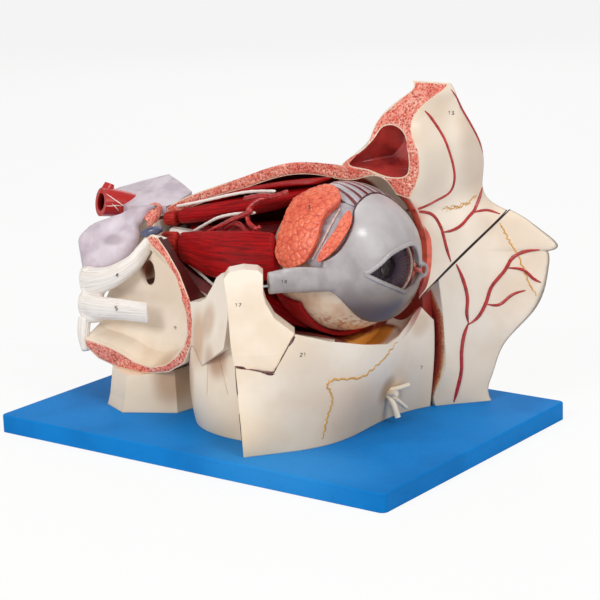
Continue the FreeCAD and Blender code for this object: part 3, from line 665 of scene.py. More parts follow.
def makeLobed(name, node, shape, finish, body):  # large lobes with small ones on them
    points, normals, faces = remeshed((node,), shape["voxel"])
    lobes, moved = [], []
    share, proud = 0.25, 0.05  # depth of the small lobes, and how far the skin stands out
    for point, normal in zip(points, normals):
        cloud = point * 0.25
        wander = Vector((noise.noise(cloud), noise.noise(cloud + Vector((9, 0, 0))), 0)) * 1.2
        near = noise.voronoi((point + wander) / shape["lobe"])[0]
        fine = noise.voronoi(point / shape["fine"])[0]
        crown = 1 - math.exp(-4.5 * (near[1] - near[0]))
        small = 1 - math.exp(-5 * (fine[1] - fine[0]))
        outer = (point - eyeCentre).normalized()
        lobes.append(crown * (1 - share + share * small))
        sink = shape["depth"] * (1 - crown) + shape["depth"] * share * (1 - small)
        moved.append(point - outer * sink * max(0.0, normal.dot(outer)) + outer * proud)
    return addPiece(name, moved, faces, finish, body, (node,), marks={"lobe": lobes})


# finishes
def socketInside(finish):  # 1 on the surface that lines the socket
    x, y, z = finish.axes()
    middleY = (x * 0.05 + 5).least(5)
    middleZ = (x * -0.1 - 4.5).most(0) + 119
    radius = (x * 0.2878 + x * x * -0.0015).least(2.0) + 49.5
    around = ((y - middleY) ** 2 + (z - middleZ) ** 2) ** 0.5
    offset = finish.offsetFrom(eyeCentre)
    across, high = finish.along(noseward, offset), finish.along(upward, offset)
    edge = z.fall(126, 141) * z.rise(86, 96) * 3 + 48.6
    slideWay = (((across ** 2 + high ** 2) ** 0.5) - edge).fall(0, 0.5) * z.fall(132, 141)
    return ((around - radius).fall(1.0, 2.2) * x.fall(84, 88)).most(slideWay)


# soft painted shading: middle, half widths along x, y, z, strength and colour
shades = [
    ((86, 6, 34), (16, 13, 14), 0.75, "9a7048"),  # round the twigs of the cheek
    ((84, 40, 72), (10, 16, 12), 0.45, "c4a27c"),
    ((-20, -60, 72), (20, 14, 24), 0.6, "c68e58"),  # foot of the temple wing
    ((-60, -40, 34), (16, 22, 26), 0.6, "b07a4c"),  # inner side of the column
    ((-34, -62, 40), (14, 16, 26), 0.55, "c39a72"),
    ((-90, -22, 104), (8, 15, 15), 1.0, "713018"),  # opening behind the upper trunk
    ((-118, -38, 88), (9, 12, 5), 0.8, "b06a34"),
    ((3, -66, 62), (14, 12, 18), 0.7, "a8724c"),
    ((-4, -66, 86), (17, 10, 16), 0.6, "c79d7c"),
    ((78, -30, 34), (16, 44, 34), 0.35, "dcae80"),
    ((113, 74, 178), (17, 30, 62), 0.5, "b9a08e"),
    ((98, 42, 190), (20, 20, 46), 0.4, "c4b09c"),  # side of the forehead
]


def makeBone(name, slot="bone", paint=None):
    bone = Finish(name, slot, Coat_Weight=0.2, Coat_Roughness=0.2)
    cloud = bone.grain(38, 3)
    patches = [(bone.scaledAway(middle, wide).fall(0.35, 1.0) * strength, shade)
               for middle, wide, strength, shade in shades]
    # painted light: low down, near the board, the bone is tinted warm to cancel the blue light
    # bounced up from the board
    colour = bone.layers("f5e8d7", (cloud.rise(0.38, 0.7), "ead6bf"),
                         (bone.grain(9, 4).rise(0.62, 0.85) * 0.18, "d3b08c"),
                         (bone.along(upward).fall(12, 72) * 0.45, "f6cf98"), *patches)
    if paint:
        colour = paint(bone, colour, *bone.axes())
    bone.set(Base_Color=colour, Roughness=cloud * 0.15 + 0.36)
    height = bone.grain(4, 5, rough=0.6) * 0.6 + bone.grain(0.7, 2) * 0.15
    bone.bump(height, 0.22, 0.5, 1.1)
    return bone


def liningColour(bone, x, z):
    # the front coat is a real pink-red crescent by the nose, painted paler than its own red as
    # painted light
    return bone.layers("541110", (x.rise(-40, 70), "942c24"),
                       (x.rise(78, 85) * z.rise(97, 108), "f06e58"),
                       (bone.grain(5, 5).rise(0.4, 0.7) * 0.4, "7a1c16"))


def frontFloor(bone, colour, x, z):  # warm floor of the socket behind the cheek's rim
    patch = bone.scaledAway((60, 18, 60), (22, 38, 12)).fall(0.85, 1.0)
    # the orange and the cream are painted paler than their own colour, as painted light where the
    # eye shades this floor
    warm = bone.layers("b0401e", ((x + bone.grain(10, 2) * 6).rise(48, 55), "ffb44c"),
                       (x.rise(63, 68), "fff2e2"),
                       ((z + bone.grain(6, 2) * 3).rise(66, 69.5), "8e2c16"))
    return bone.mix(patch, colour, warm)


def paintSeam(bone, colour, z):  # painted shade, near black, in the gap between the forehead and the nose
    seam = bone.along(Vector((-40, -22, 48.3)).normalized(), bone.offsetFrom((105, 69, 118))).size()
    return bone.mix(seam.fall(0.6, 1.1) * z.rise(88, 91), colour, "2a0b09")


def paintForehead(bone, colour, x, y, z):
    return bone.mix(socketInside(bone), paintSeam(bone, colour, z), liningColour(bone, x, z))


def paintNose(bone, colour, x, y, z):  # with the stippled saw cut towards the cheek
    edge = (94 - (z - 64) ** 2 * 0.00375).least(130.5 - z * 0.5)
    depth = edge - x + bone.grain(7, 2) * 1.6 - 0.8
    stipple = bone.grain(1.2, 3).rise(0.45, 0.62) * 0.6
    cut = bone.layers("dfa06c", (depth.rise(1, 4), "c64a30"), (depth.rise(4, 8), "8e2018"),
                      (stipple, "5c120e"))
    side = bone.facing((-0.13, -0.99, -0.07)).rise(0.4, 0.7)
    colour = bone.mix(depth.rise(-0.4, 1.6) * side * z.fall(90, 96), colour, cut)
    return bone.mix(socketInside(bone), paintSeam(bone, colour, z), liningColour(bone, x, z))


def paintCheek(bone, colour, x, y, z):
    return frontFloor(bone, bone.mix(socketInside(bone), colour, liningColour(bone, x, z)), x, z)


def paintWall(bone, colour, x, y, z):
    lined = socketInside(bone) * bone.facing((0, 1, 0)).fall(0.2, 0.5)
    lined = lined.most(bone.facing((0, -1, 0)).rise(0.9, 0.97) * y.fall(46.5, 47.5))
    lined = lined.most(bone.facing((1, 0, 0)).rise(0.9, 0.97) * z.fall(90, 94))
    lined = lined.most(bone.facing((0, -0.5, 0.87)).rise(0.95, 0.98) * x.fall(-24, -16))
    return frontFloor(bone, bone.mix(lined, colour, liningColour(bone, x, z)), x, z)


def paintSphenoid(bone, colour, x, y, z):  # the flank towards the socket is part of its lining, darkened as painted shade
    flank = bone.facing((0.74, 0.04, 0.66)).rise(0.9, 0.95) * z.rise(88, 92)
    return bone.mix(flank, colour, "450c0b")


def spongyColour(spongy, pits):
    return spongy.layers("f5b8a3", (spongy.grain(1.6, 3).rise(0.42, 0.6), "e4745e"),
                         (spongy.grain(12, 3).rise(0.35, 0.7) * 0.6, "d84a38"),
                         (spongy.cells(1.15).fall(0.22, 0.42) * 0.65, "b2352a"),
                         (pits.fall(0.2, 0.4) * 0.8, "961d17"))


def makeSpongy():
    spongy = Finish("spongyBone", "spongy_bone", Roughness=0.55, Coat_Weight=0.1)
    pits = spongy.cells(2.1)
    spongy.cover(spongyColour(spongy, pits))
    spongy.bump(pits, 0.9, 0.9)
    return spongy


def makeSectionFinish():  # spongy, with a pale band of dense bone along the rim
    section = Finish("sectionSpongy", "spongy_bone", Roughness=0.55, Coat_Weight=0.1)
    pits = section.cells(2.1)
    edge = (section.held("rim") + section.grain(2.5, 3) * 0.8 - 0.4).fall(0.35, 1.1)
    x, y, z = section.axes()
    slantFold = (z - 92).size().most((y + 50).size()).rise(1.5, 3)  # no band where two cuts meet
    foreheadCut, roofCut = (z - 179.4) * 0.51 - (y - 20) * 0.86, (x + 95) * 0.12 - (y - 5)
    roofFold = foreheadCut.size().most(roofCut.size()).rise(1.5, 3)
    edge = edge * slantFold * roofFold
    section.cover(spongyColour(section, pits), (edge, "f0d2b8"))
    section.bump(pits * (1 - edge), 0.8, 0.9)
    return section


def makeMuscle(name, light="b80d12", dark="5c080c"):
    muscle = Finish(name, "muscle", Roughness=0.45, Specular_IOR_Level=0.12, Coat_Weight=0.04,
                    Coat_Roughness=0.2)
    streak = muscle.grain(0.8, 4, muscle.stretched(muscle.unwrapped(), (0.35, 2.2, 1)))
    fibre = muscle.grain(0.28, 3, muscle.stretched(muscle.unwrapped(), (0.2, 3.0, 1)))
    # painted shade: darker in the grooves between the fibre bundles
    muscle.cover(light, (streak.rise(0.35, 0.65), "8a0d12"),
                 (fibre.rise(0.58, 0.78) * 0.35, "cf4038"),
                 (muscle.held("groove").rise(0.2, 0.9) * 0.55, dark))
    muscle.bump(fibre * 0.6 + streak * 0.4, 0.22, 0.7)
    return muscle


def makeNerve(name, light="f6efe8", dark="e4d6cb"):
    nerve = Finish(name, "nerve", Roughness=0.42, Coat_Weight=0.2, Coat_Roughness=0.2)
    streak = nerve.grain(0.9, 4, nerve.stretched(nerve.unwrapped(), (0.3, 2.0, 1)))
    # painted shade: darker in the grooves between the fibre bundles
    nerve.cover(light, (streak.rise(0.4, 0.7) * 0.6, dark),
                (nerve.held("groove").rise(0.45, 1.0) * 0.5, "b5a294"))
    nerve.bump(streak, 0.3, 0.7)
    return nerve


def makeRoot():  # short root whose fibres run straight back
    root = Finish("rootWhite", "nerve", Roughness=0.42, Coat_Weight=0.2, Coat_Roughness=0.2)
    lines = root.grain(1.1, 3, root.stretched(root.place, (0.06, 0.06, 1)))
    root.cover("f6efe8", (lines.rise(0.5, 0.68) * 0.55, "c2b0a2"))
    root.bump(lines, 0.25, 0.7)
    return root


def makeBoard():
    board = Finish("boardPaint", "board_blue", Specular_IOR_Level=0.04)
    glare = board.scaledAway((70, -90, 12), (90, 50, 40)).fall(0.2, 1.0)
    board.cover("147fcc", (board.grain(60, 3).rise(0.4, 0.65), "1074bf"),
                (glare * 0.5, "3c98dc"),
                (board.grain(0.9, 2).rise(0.66, 0.76) * 0.25, "3a93d6"),
                (board.grain(4, 4).rise(0.58, 0.72) * 0.12, "0a4f8c"))
    board.set(Roughness=board.grain(3, 4) * 0.2 + 0.4)
    board.bump(board.grain(0.8, 3), 0.12, 0.6, 0.6)
    return board


def makeSteel():
    steel = Finish("screwSteel", "steel", Metallic=1.0)
    brushed = steel.grain(0.3, 3, steel.stretched(steel.place, (1, 1, 0.1)))
    steel.cover("b9bcc0", (brushed, "8d9196"))
    steel.set(Roughness=brushed * 0.25 + 0.25)
    steel.bump(brushed, 0.05, 0.5)
    return steel


def makeLid():  # painted light and shade: paler above, darker below, and brown in the shade under the front of the lower lid
    lid = Finish("lidGrey", "lid_grey", Coat_Weight=0.45, Coat_Roughness=0.16)
    cloud, high = lid.grain(14, 4), lid.along(upward)
    front = lid.along(gaze, lid.offsetFrom(eyeCentre)).rise(6, 20)
    lid.cover("b3adae", (cloud.rise(0.35, 0.7), "9a9394"),
              (lid.grain(2.2, 4).rise(0.62, 0.8) * 0.22, "7d7477"),
              (high.rise(124, 156) * 0.55, "cfcacb"), (high.fall(98, 126) * 0.35, "78716f"),
              (high.fall(92, 120) * front * 0.95, "604a3c"))
    lid.set(Roughness=cloud * 0.12 + 0.28)
    lid.bump(lid.grain(4, 3) * 0.6 + lid.grain(0.9, 2) * 0.08, 0.2, 0.45, 1.2)
    return lid


def makeGland():
    gland = Finish("glandLobes", "gland", Coat_Weight=0.35, Coat_Roughness=0.25, Roughness=0.4)
    lobe = gland.held("lobe")
    crowns = lobe.rise(0.8, 0.98) * gland.grain(2, 3).rise(0.5, 0.75)
    # painted light on the crowns of the lobes, painted shade in the clefts between them
    gland.cover("ec7450", (gland.grain(9, 4).rise(0.35, 0.7), "dd5a3c"), (crowns * 0.4, "f29a68"),
                (lobe.fall(0.05, 0.42) * 0.8, "bd3a26"))
    gland.bump(gland.cells(1.1) * -0.6 + gland.grain(0.6, 2) * 0.3, 0.4, 0.7)
    return gland


def makeSheet():
    sheet = Finish("sheetGrey", "lid_grey", Roughness=0.45, Coat_Weight=0.3, Coat_Roughness=0.2)
    cloud = sheet.grain(6, 4)
    sheet.cover("a9a4aa", (cloud.rise(0.4, 0.7), "8a7f86"),
                (sheet.grain(2, 3).rise(0.6, 0.75) * 0.6, "6d2f33"))
    sheet.bump(cloud, 0.4, 0.6)
    return sheet


def makeTendon():  # bands that fan out from behind the eye
    tendon = Finish("lifterTendon", "lid_grey", Roughness=0.4, Coat_Weight=0.35, Coat_Roughness=0.2)
    offset = tendon.offsetFrom(eyeCentre)
    spread = tendon.along(noseward, offset) / (tendon.along(gaze, offset) + 78)
    band = (spread * 96 + tendon.grain(14, 2) * 2).wave()
    tendon.cover("b0abb0", (band.rise(0.25, 0.6), "6c1216"),
                 (tendon.grain(1.5, 3).rise(0.55, 0.75) * 0.4, "8f8289"))
    tendon.bump(band * -0.5 + tendon.grain(1.5, 3) * 0.3, 0.5, 0.7)
    return tendon


def makeSclera():
    sclera = Finish("scleraCream", "sclera", Roughness=0.3, Coat_Weight=0.5, Coat_Roughness=0.1)
    offset = sclera.offsetFrom(eyeCentre)
    turn = sclera.along(noseward, offset).turnFrom(sclera.along(gaze, offset))
    below = sclera.along(upward, offset).fall(-34, -24) * sclera.grain(3.2, 5).rise(0.5, 0.62)
    sclera.cover("f2e0cc", (sclera.grain(12, 4).rise(0.35, 0.7), "e2bfa4"),
                 (sclera.grain(3, 5).rise(0.62, 0.8) * 0.5, "cc7a5c"),
                 (turn.rise(0.3, 0.4) * turn.fall(0.9, 1.0), "dc5a3e"), (below * 0.7, "b4582e"))
    sclera.bump(sclera.grain(5, 3), 0.15, 0.5)
    return sclera


def makeRetina():
    retina = Finish("retinaOrange", "retina", Roughness=0.4, Coat_Weight=0.3)
    veins = retina.cells(16, "DISTANCE_TO_EDGE").fall(0.02, 0.05)
    retina.cover("d8683c", (retina.grain(9, 5).rise(0.4, 0.65), "b5452b"), (veins * 0.7, "7c1512"))
    retina.bump(retina.grain(3, 3), 0.1, 0.4)
    return retina


def makeIris():
    iris = Finish("irisBrown", "iris", Roughness=0.35, Coat_Weight=0.3)
    offset = iris.offsetFrom(eyeCentre)
    across, high = iris.along(noseward, offset), iris.along(upward, offset)
    radius = (across ** 2 + high ** 2) ** 0.5
    rays = (across.turnFrom(high) * 46 + iris.grain(3, 3) * 7).wave() * 0.5 + 0.5
    corner = iris.mix(across.rise(8, 12), "1d1218", "d8553a")
    iris.cover("533850", (rays * radius.rise(9, 14) * 0.7, "8a6a72"),
               (radius.fall(7.5, 10.5), "221430"), (radius.rise(18, 19.5), corner))
    iris.bump(rays, 0.3, 0.8)
    return iris


def makeClear(name, slot, colour, ior):
    clear = Finish(name, slot, Base_Color=tint(colour), Roughness=0.03, IOR=ior,
                   Transmission_Weight=1.0)
    clear.bump(clear.grain(8, 2), 0.02, 0.3)
    return clear


def makeGlossy(name, slot):
    glossy = Finish(name, slot, Roughness=0.3, Coat_Weight=0.5, Coat_Roughness=0.12)
    glossy.bump(glossy.grain(1.2, 3), 0.15, 0.6)
    return glossy


def makeVessel(name, slot, light, dark, size=2.5):
    vessel = makeGlossy(name, slot)
    vessel.cover(light, (vessel.grain(size, 4).rise(0.4, 0.68), dark))
    return vessel


def makeCarotid():  # cut across, with a dark bore: painted shade, darker deeper in
    bore = {
        "mouth": (-146.4, -7.9, 140.7),
        "axis": Vector((0.42, 0.88, -0.2)).normalized(),
        "radius": (6.3, 6.7),
        "depth": (0.5, 5),
    }
    carotid = makeGlossy("carotidRed", "artery")
    offset = carotid.offsetFrom(bore["mouth"])
    depthIn = carotid.along(bore["axis"], offset)
    offAxis = (carotid.length(offset) ** 2 - depthIn ** 2).most(0) ** 0.5
    boreShade = offAxis.fall(*bore["radius"]) * depthIn.rise(*bore["depth"])
    carotid.cover("cc1c18", (carotid.grain(2.5, 4), "a8120f"), (boreShade, "2e0405"))
    return carotid


def makeDura():
    dura = Finish("duraLilac", "dura", Roughness=0.5, Coat_Weight=0.12, Coat_Roughness=0.3)
    hollowShade = dura.scaledAway((-117, -32, 121), (13, 14, 5)).fall(0.4, 1.0)
    # painted shade: darker round a hollow
    dura.cover("d6c9d1", (dura.grain(16, 3).rise(0.38, 0.68), "bcabb5"),
               (dura.grain(4, 4).rise(0.64, 0.82) * 0.2, "ab8f96"), (hollowShade * 0.6, "9b8590"))
    dura.bump(dura.grain(5, 4), 0.4, 0.6, 0.8)
    return dura


print("finishes")
bone = makeBone("boneCream")
foreheadBone = makeBone("boneForehead", paint=paintForehead)
noseBone = makeBone("boneNose", paint=paintNose)
cheekBone = makeBone("boneCheek", paint=paintCheek)
sphenoidBone = makeBone("boneSphenoid", paint=paintSphenoid)
wallBone = makeBone("socketWall", "orbit_lining", paint=paintWall)
section = makeSectionFinish()
spongy = makeSpongy()
muscle = makeMuscle("muscleRed")
stubRed = makeMuscle("stubRed", "cf3a30", "7a1210")
nerve = makeNerve("nerveWhite")
twigCream = makeNerve("twigCream", light="fbebd2", dark="e6cfae")
rootFinish = makeRoot()
board, steel, lidGrey, glandLobes = makeBoard(), makeSteel(), makeLid(), makeGland()
sheetGrey, tendon = makeSheet(), makeTendon()
sclera, retina, iris = makeSclera(), makeRetina(), makeIris()
# a nearly clear cornea tinted dark violet, as painted shade over the iris inside the slit
cornea = Finish("corneaClear", "clear_front", Base_Color=tint("2c1826"), Alpha=0.22, Roughness=0.05,
                Specular_IOR_Level=0.25, Coat_Weight=0.15)
cornea.bump(cornea.grain(8, 2), 0.02, 0.3)
lensClear = makeClear("lensClear", "clear_lens", "f3f1e6", 1.4)
jelly = makeClear("jellyClear", "clear_body", "eef3f6", 1.33)
carotid = makeCarotid()
artery = makeVessel("arteryRed", "artery", "bc1c1c", "8e1012")
vein = makeVessel("veinSlate", "vein", "565a78", "44465f")
sinusRed = makeVessel("sinusRed", "orbit_lining", "b83c36", "8a2222", 14)
sutureGold = makeVessel("sutureGold", "bone", "e0a850", "d09038")
ink = makeVessel("inkDark", "bone", "3a3434", "2a2626")
# dark red laid in gaps between pieces and along the lids' border: partly the red of cut faces,
# partly painted shade
gapRed = makeVessel("gapRed", "orbit_lining", "5a120c", "3a0a08")
caruncle = makeVessel("carunclePink", "caruncle", "cf6a58", "a83c34")
rimPale = makeVessel("rimPale", "sclera", "d8c4ba", "b89c94")
dura = makeDura()

dressed = {
    "base_board": board, "fixing_screws": steel, "corner_pin": steel,
    "frontal_bone": foreheadBone, "nasal_bone": noseBone, "cheek_bone": cheekBone,
    "sphenoid_bone": sphenoidBone, "orbit_wall": wallBone, "cheek_process": bone,
    "temple_wing": bone, "upper_jaw": bone, "support_column": bone, "lesser_wing": spongy,
    "dura_plate": dura, "carotid_artery": carotid, "orbit_vein": vein, "cheek_nerve": twigCream,
    "lower_oblique": muscle, "gland_sheet": sheetGrey, "lid_tendon": tendon, "cornea": cornea,
    "iris": iris, "sclera_front": sclera, "sclera_back": sclera, "retina_cup": retina,
    "eye_lens": lensClear, "vitreous_body": jelly,
}
for node, finish in dressed.items():
    dress(node, finish)

print("muscles and nerves")
strands = {  # along each line: x, y, z, half width, half height
    "upper_muscle_stub": {
        "line": [(-93, 1, 132, 5.5, 4.8), (-88, 1, 133, 6.2, 5.2), (-83.5, 1.5, 134, 6.2, 5)],
        "ridges": 16, "depth": 0.4, "finish": stubRed, "seed": 1},
    "side_muscle_stub": {
        "line": [(-89, -9, 117, 3.5, 8), (-81, -11, 117.5, 4.2, 9.2), (-72, -13, 118, 4.2, 9.8)],
        "ridges": 20, "depth": 0.4, "finish": stubRed, "seed": 2},
    "upper_rectus": {
        "line": [(-81, 2, 134.5, 6.2, 5), (-55, 4, 140, 9, 6), (-30, 6, 145.5, 11, 6.4),
                 (-4, 7, 151.5, 13, 6), (16, 7, 157.5, 14, 4), (34, 7, 163.3, 14, 2.0)],
        "ridges": 22, "depth": 0.4, "finish": muscle, "seed": 3},
    "lid_lifter": {
        "line": [(-60, 8, 146.5, 4, 1.8), (-30, 9, 155.5, 7, 2), (-4, 9, 161.5, 9, 2),
                 (16, 8, 165.2, 11, 1.8), (33, 8, 167.6, 13, 1.2)],
        "ridges": 20, "depth": 0.35, "finish": muscle, "seed": 4},
    "side_rectus": {
        "line": [(-69, -13.5, 118, 4.2, 9.8), (-50, -19, 118, 5, 13.5),
                 (-34, -24.5, 118.5, 5.4, 15.5), (-4, -35, 123, 5.4, 16),
                 (14, -40, 125.5, 4.6, 16), (33, -43.3, 127.7, 3.5, 15.1)],
        "ridges": 26, "depth": 0.4, "finish": muscle, "seed": 5, "body": "side_muscle"},
    "inner_rectus": {
        "line": [(-80, 8, 121, 3, 6), (-40, 22, 119, 4.5, 12), (0, 40, 119, 5, 14),
                 (30, 50.3, 119, 3.2, 13)],
        "ridges": 22, "depth": 0.5, "finish": muscle, "seed": 6},
    "lower_rectus": {
        "line": [(-80, 2, 111, 5, 3), (-40, 3, 95, 9, 4.5), (0, 5, 77.5, 12, 4.5),
                 (30, 5, 73, 13, 2.6)],
        "ridges": 24, "depth": 0.4, "finish": muscle, "seed": 7},
    "upper_nerve_trunk": {
        "line": [(-137, -38, 91, 5, 10.5), (-126, -40, 93, 5, 9.5), (-110, -39, 98, 5, 7.5),
                 (-96, -34, 107, 4.5, 6), (-90, -29, 116, 3.5, 5), (-87, -25, 123.5, 2.4, 3.6)],
        "ridges": 34, "depth": 0.25, "finish": nerve, "seed": 9},
    "lower_nerve_trunk": {
        "line": [(-137, -41, 76, 5, 9), (-120, -43, 76, 5, 8), (-100, -43, 77, 4, 7.4),
                 (-88, -42.5, 77, 3, 7.2), (-77, -42, 77.3, 2, 7)],
        "blunt": 0.3, "ridges": 30, "depth": 0.25, "finish": nerve, "seed": 10},
    "jaw_nerve_trunk": {
        "line": [(-134, -43, 68, 5, 4), (-133, -46, 56, 4.5, 4), (-130, -47, 45, 3.5, 3.5)],
        "up": (0, 1, 0), "ridges": 10, "depth": 0.4, "finish": nerve, "seed": 11},
    "optic_nerve": {
        "line": [(-90, 1, 121.5, 6, 6), (-60, 3, 119, 6.5, 6.5), (-30, 6, 117, 7, 7),
                 (5, 11.6, 118, 7, 7)],
        "ridges": 14, "depth": 0.3, "finish": nerve, "seed": 12},
}
for node, shape in strands.items():
    makeStrand("grooved_" + node, shape, shape["finish"], shape.get("body", "stand"), (node,))

socketNerves = {
    "radius": 1.0,
    "routes": [
        [(-86, 3, 141), (-60, 1, 147.5), (-36, -3, 154), (-14, -7, 159), (8, -9, 161.5)],
        [(-66, -4, 127), (-50, -8, 135), (-36, -14, 141), (-18, -20, 146), (4, -26, 150)],
        [(-68, -8, 105), (-50, -16, 100.5), (-34, -24, 97.5), (-18, -30, 96)],
        [(-40, -8, 128), (-24, -14, 132), (-6, -18, 131), (10, -22, 136)],
    ],
}
socketArteries = {
    "radius": 1.6,
    "routes": [
        [(-70, -5, 121), (-52, -11, 127), (-34, -20, 135), (-14, -26, 144), (4, -29, 152)],
        [(-28, -17, 134), (-12, -24, 141), (0, -27, 136), (10, -29, 142)],
        [(-12, -16, 156), (4, -19, 160), (16, -21, 161), (26, -19, 164.5)],
        [(12, -17, 160), (3, -21, 157), (-2, -25, 151), (0, -28, 144), (9, -31, 140)],
    ],
}
makeTubes("branching_nerves", socketNerves, nerve, "stand", ("orbit_nerves",))
makeTubes("branching_arteries", socketArteries, artery, "stand", ("orbit_arteries",))

ganglionSheet = {
    "outline": [(84.2, 271), (80.5, 255.4), (78.8, 240.3), (85.8, 230.6), (95.5, 223),
                (111.7, 216.6), (128.9, 209.6), (141.8, 205.3), (156.9, 205.8), (150.5, 211.2),
                (144, 220.9), (138.6, 226.3), (139.1, 233.8), (135.4, 247.8), (128.9, 258.6),
                (120.3, 267.2), (107.4, 269.9), (95.5, 272.6)],
    "anchor": (-120, -22, 120), "lean": (0.18, -0.85, 0.5), "spacing": 1.4,
    "bulge": 7, "thick": 9, "round": 15,
    "dents": [(3.0, (110, 236), 14, 5), (1.5, (126, 222), 8, 12)],  # depth, place, half widths
}
makePillow("draped_ganglion", ganglionSheet, dura, "stand", ("nerve_ganglion",))
nerveRoot = {
    "outline": [(82, 268), (96, 268), (106, 276), (108, 288), (104, 296), (108, 306), (108, 318),
                (100, 322), (90, 323), (82, 322), (81.5, 295)],
    "anchor": (-132, -41, 88), "lean": (0.2, -1, 0.1), "spacing": 1.6,
    "bulge": 2.6, "thick": 3, "round": 3,
}
makePillow("nerve_root", nerveRoot, rootFinish, "stand")

print("lids")


lidShells = {"nodes": ("upper_lid", "lower_lid", "corner_band"), "voxel": 0.6, "smoothing": 14}
points, normals, faces = remeshed(lidShells["nodes"], lidShells["voxel"], lidShells["smoothing"])
addPiece("lid_shells", points, faces, lidGrey, "lids", lidShells["nodes"])


def alongEye(shape):  # tubes whose places are given as turn and lift from the gaze
    routes = [[tuple(eyePoint(turn, lift, shape["away"])) for turn, lift in route]
              for route in shape["places"]]
    return {"radius": shape["radius"], "routes": routes}


slitMargin = {
    "radius": 1.6, "away": 50.9,
    "places": [[(28, -2), (27, 5), (24, 11.5), (18, 15.5), (6, 15.5), (-7, 12.5), (-17, 6.6),
                (-24, 2.6), (-29, 1)],
               [(-29, 0.6), (-22, -3.5), (-17, -6.4), (-3, -13.4), (7, -17.9), (14, -17.4),
                (21, -16.4), (26, -13.6), (30, -11.8)]],
}
lidBorder = {
    "radius": 0.5, "away": 51.1,
    "places": [[(-56, 12.5), (-47, 18), (-40, 27), (-34, 38), (-31, 48), (-17, 57.5), (3, 61.5),
                (20, 59.5), (30, 50.5), (35.5, 38)]],
}
sheetRidge = {
    "radius": 0.8, "away": 49.4,
    "places": [[(-46, 51), (-51, 43), (-55, 35), (-58, 28), (-62, 20), (-67, 11)]],
}
makeTubes("slit_margin", alongEye(slitMargin), lidGrey, "lids")
makeTubes("lid_border", alongEye(lidBorder), gapRed, "lids")
makeTubes("sheet_ridge", alongEye(sheetRidge), rimPale, "lids")
corneaRim = {"radius": 0.9, "ahead": 42.6, "wide": 18.6}


def roundCornea(shape):
    middle, wide = eyeCentre + gaze * shape["ahead"], shape["wide"]
    angles = [math.radians(15 * i) for i in range(-9, 10)]
    route = [tuple(middle + noseward * wide * math.cos(a) + upward * wide * math.sin(a))
             for a in angles]
    return {"radius": shape["radius"], "routes": [route]}


makeTubes("cornea_rim", roundCornea(corneaRim), rimPale, "front_eye")
caruncleFold = {
    "line": [(*eyePoint(25, -4, 47.6), 2.2, 1.0), (*eyePoint(28, -6, 48.6), 3.0, 1.5),
             (*eyePoint(31, -7.5, 49.4), 2.8, 1.3), (*eyePoint(33.5, -8, 49.8), 1.6, 0.8)],
    "ridges": 6, "depth": 0.15, "around": 48,
}
makeStrand("caruncle_fold", caruncleFold, caruncle, "lids", ("tear_caruncle",))

print("tear gland")
largeGland = {"voxel": 0.6, "lobe": 4.2, "fine": 2.0, "depth": 0.7}
smallGland = {"voxel": 0.6, "lobe": 3.6, "fine": 1.8, "depth": 0.6}
makeLobed("gland_lobes_large", "tear_gland_large", largeGland, glandLobes, "lids")
makeLobed("gland_lobes_small", "tear_gland_small", smallGland, glandLobes, "lids")

print("cut faces")
sectionSkin = {
    "spacing": 1.6,
    "proud": 0.15,  # height of the grain, reached this far from the rim:
    "round": 1.2,
    "lift": 0.03,
    "square": 0.996,  # cosine between a face and the cut that it belongs to
    "near": 0.2,
}
sections = {
    "roof_section": {"node": "frontal_bone", "origin": (-95, 5, 119), "normal": (0.12, -1, 0)},
    "forehead_section": {"node": "frontal_bone", "origin": (0, 20, 179.4), "normal": (0, -1, 0.6)},
    "sphenoid_section": {"node": "sphenoid_bone", "origin": (0, -50, 0), "normal": (0, -1, 0)},
    "sphenoid_slant": {"node": "sphenoid_bone", "origin": (0, -50, 92), "normal": (0, -47, 16)},
}
for name, shape in sections.items():
    makeSection(name, shape, section, "stand")


def insideLoop(loop, x, y):
    crossings = 0
    for (ax, ay), (bx, by) in zip(loop, loop[1:] + loop[:1]):
        if (ay > y) != (by > y) and x < ax + (y - ay) * (bx - ax) / (by - ay):
            crossings += 1
    return crossings % 2 == 1


sinus = {
    "outline": [(65, 203), (71, 205), (80, 203), (87, 197), (90.5, 188), (91, 179), (89, 172),
                (79.5, 170), (69, 170), (56, 172.5), (44.5, 174.5), (44.5, 182), (56, 189.5),
                (60.5, 196.5)],
    "middle": Vector((72, 28, 185)),
    "waist": (73, 184),  # the point that the outline widens from
    "widened": 1.06,
    "back": 47,
    "lift": 0.06,
    "clear": 0.02,  # how far behind a cut the lining starts
    "flush": 0.5,  # a face this near to a cut, and square to it, is part of the cut
}


def linesSinus(centre, normal):
    behindCuts = True
    for name in ("forehead_section", "roof_section"):
        across = Vector(sections[name]["normal"]).normalized()
        ahead = (centre - Vector(sections[name]["origin"])).dot(across)
        onCut = normal.dot(across) > 0.98 and ahead > -sinus["flush"]
        behindCuts = behindCuts and ahead < -sinus["clear"] and not onCut
    x, z = (middle + (place - middle) / sinus["widened"]
            for middle, place in zip(sinus["waist"], (centre.x, centre.z)))
    inward = (centre - sinus["middle"]).dot(normal) < 0
    return (behindCuts and inward and centre.y < sinus["back"]
            and insideLoop(sinus["outline"], x, z))


skinFaces("sinus_lining", "frontal_bone", linesSinus, sinus["lift"], sinusRed, "stand")

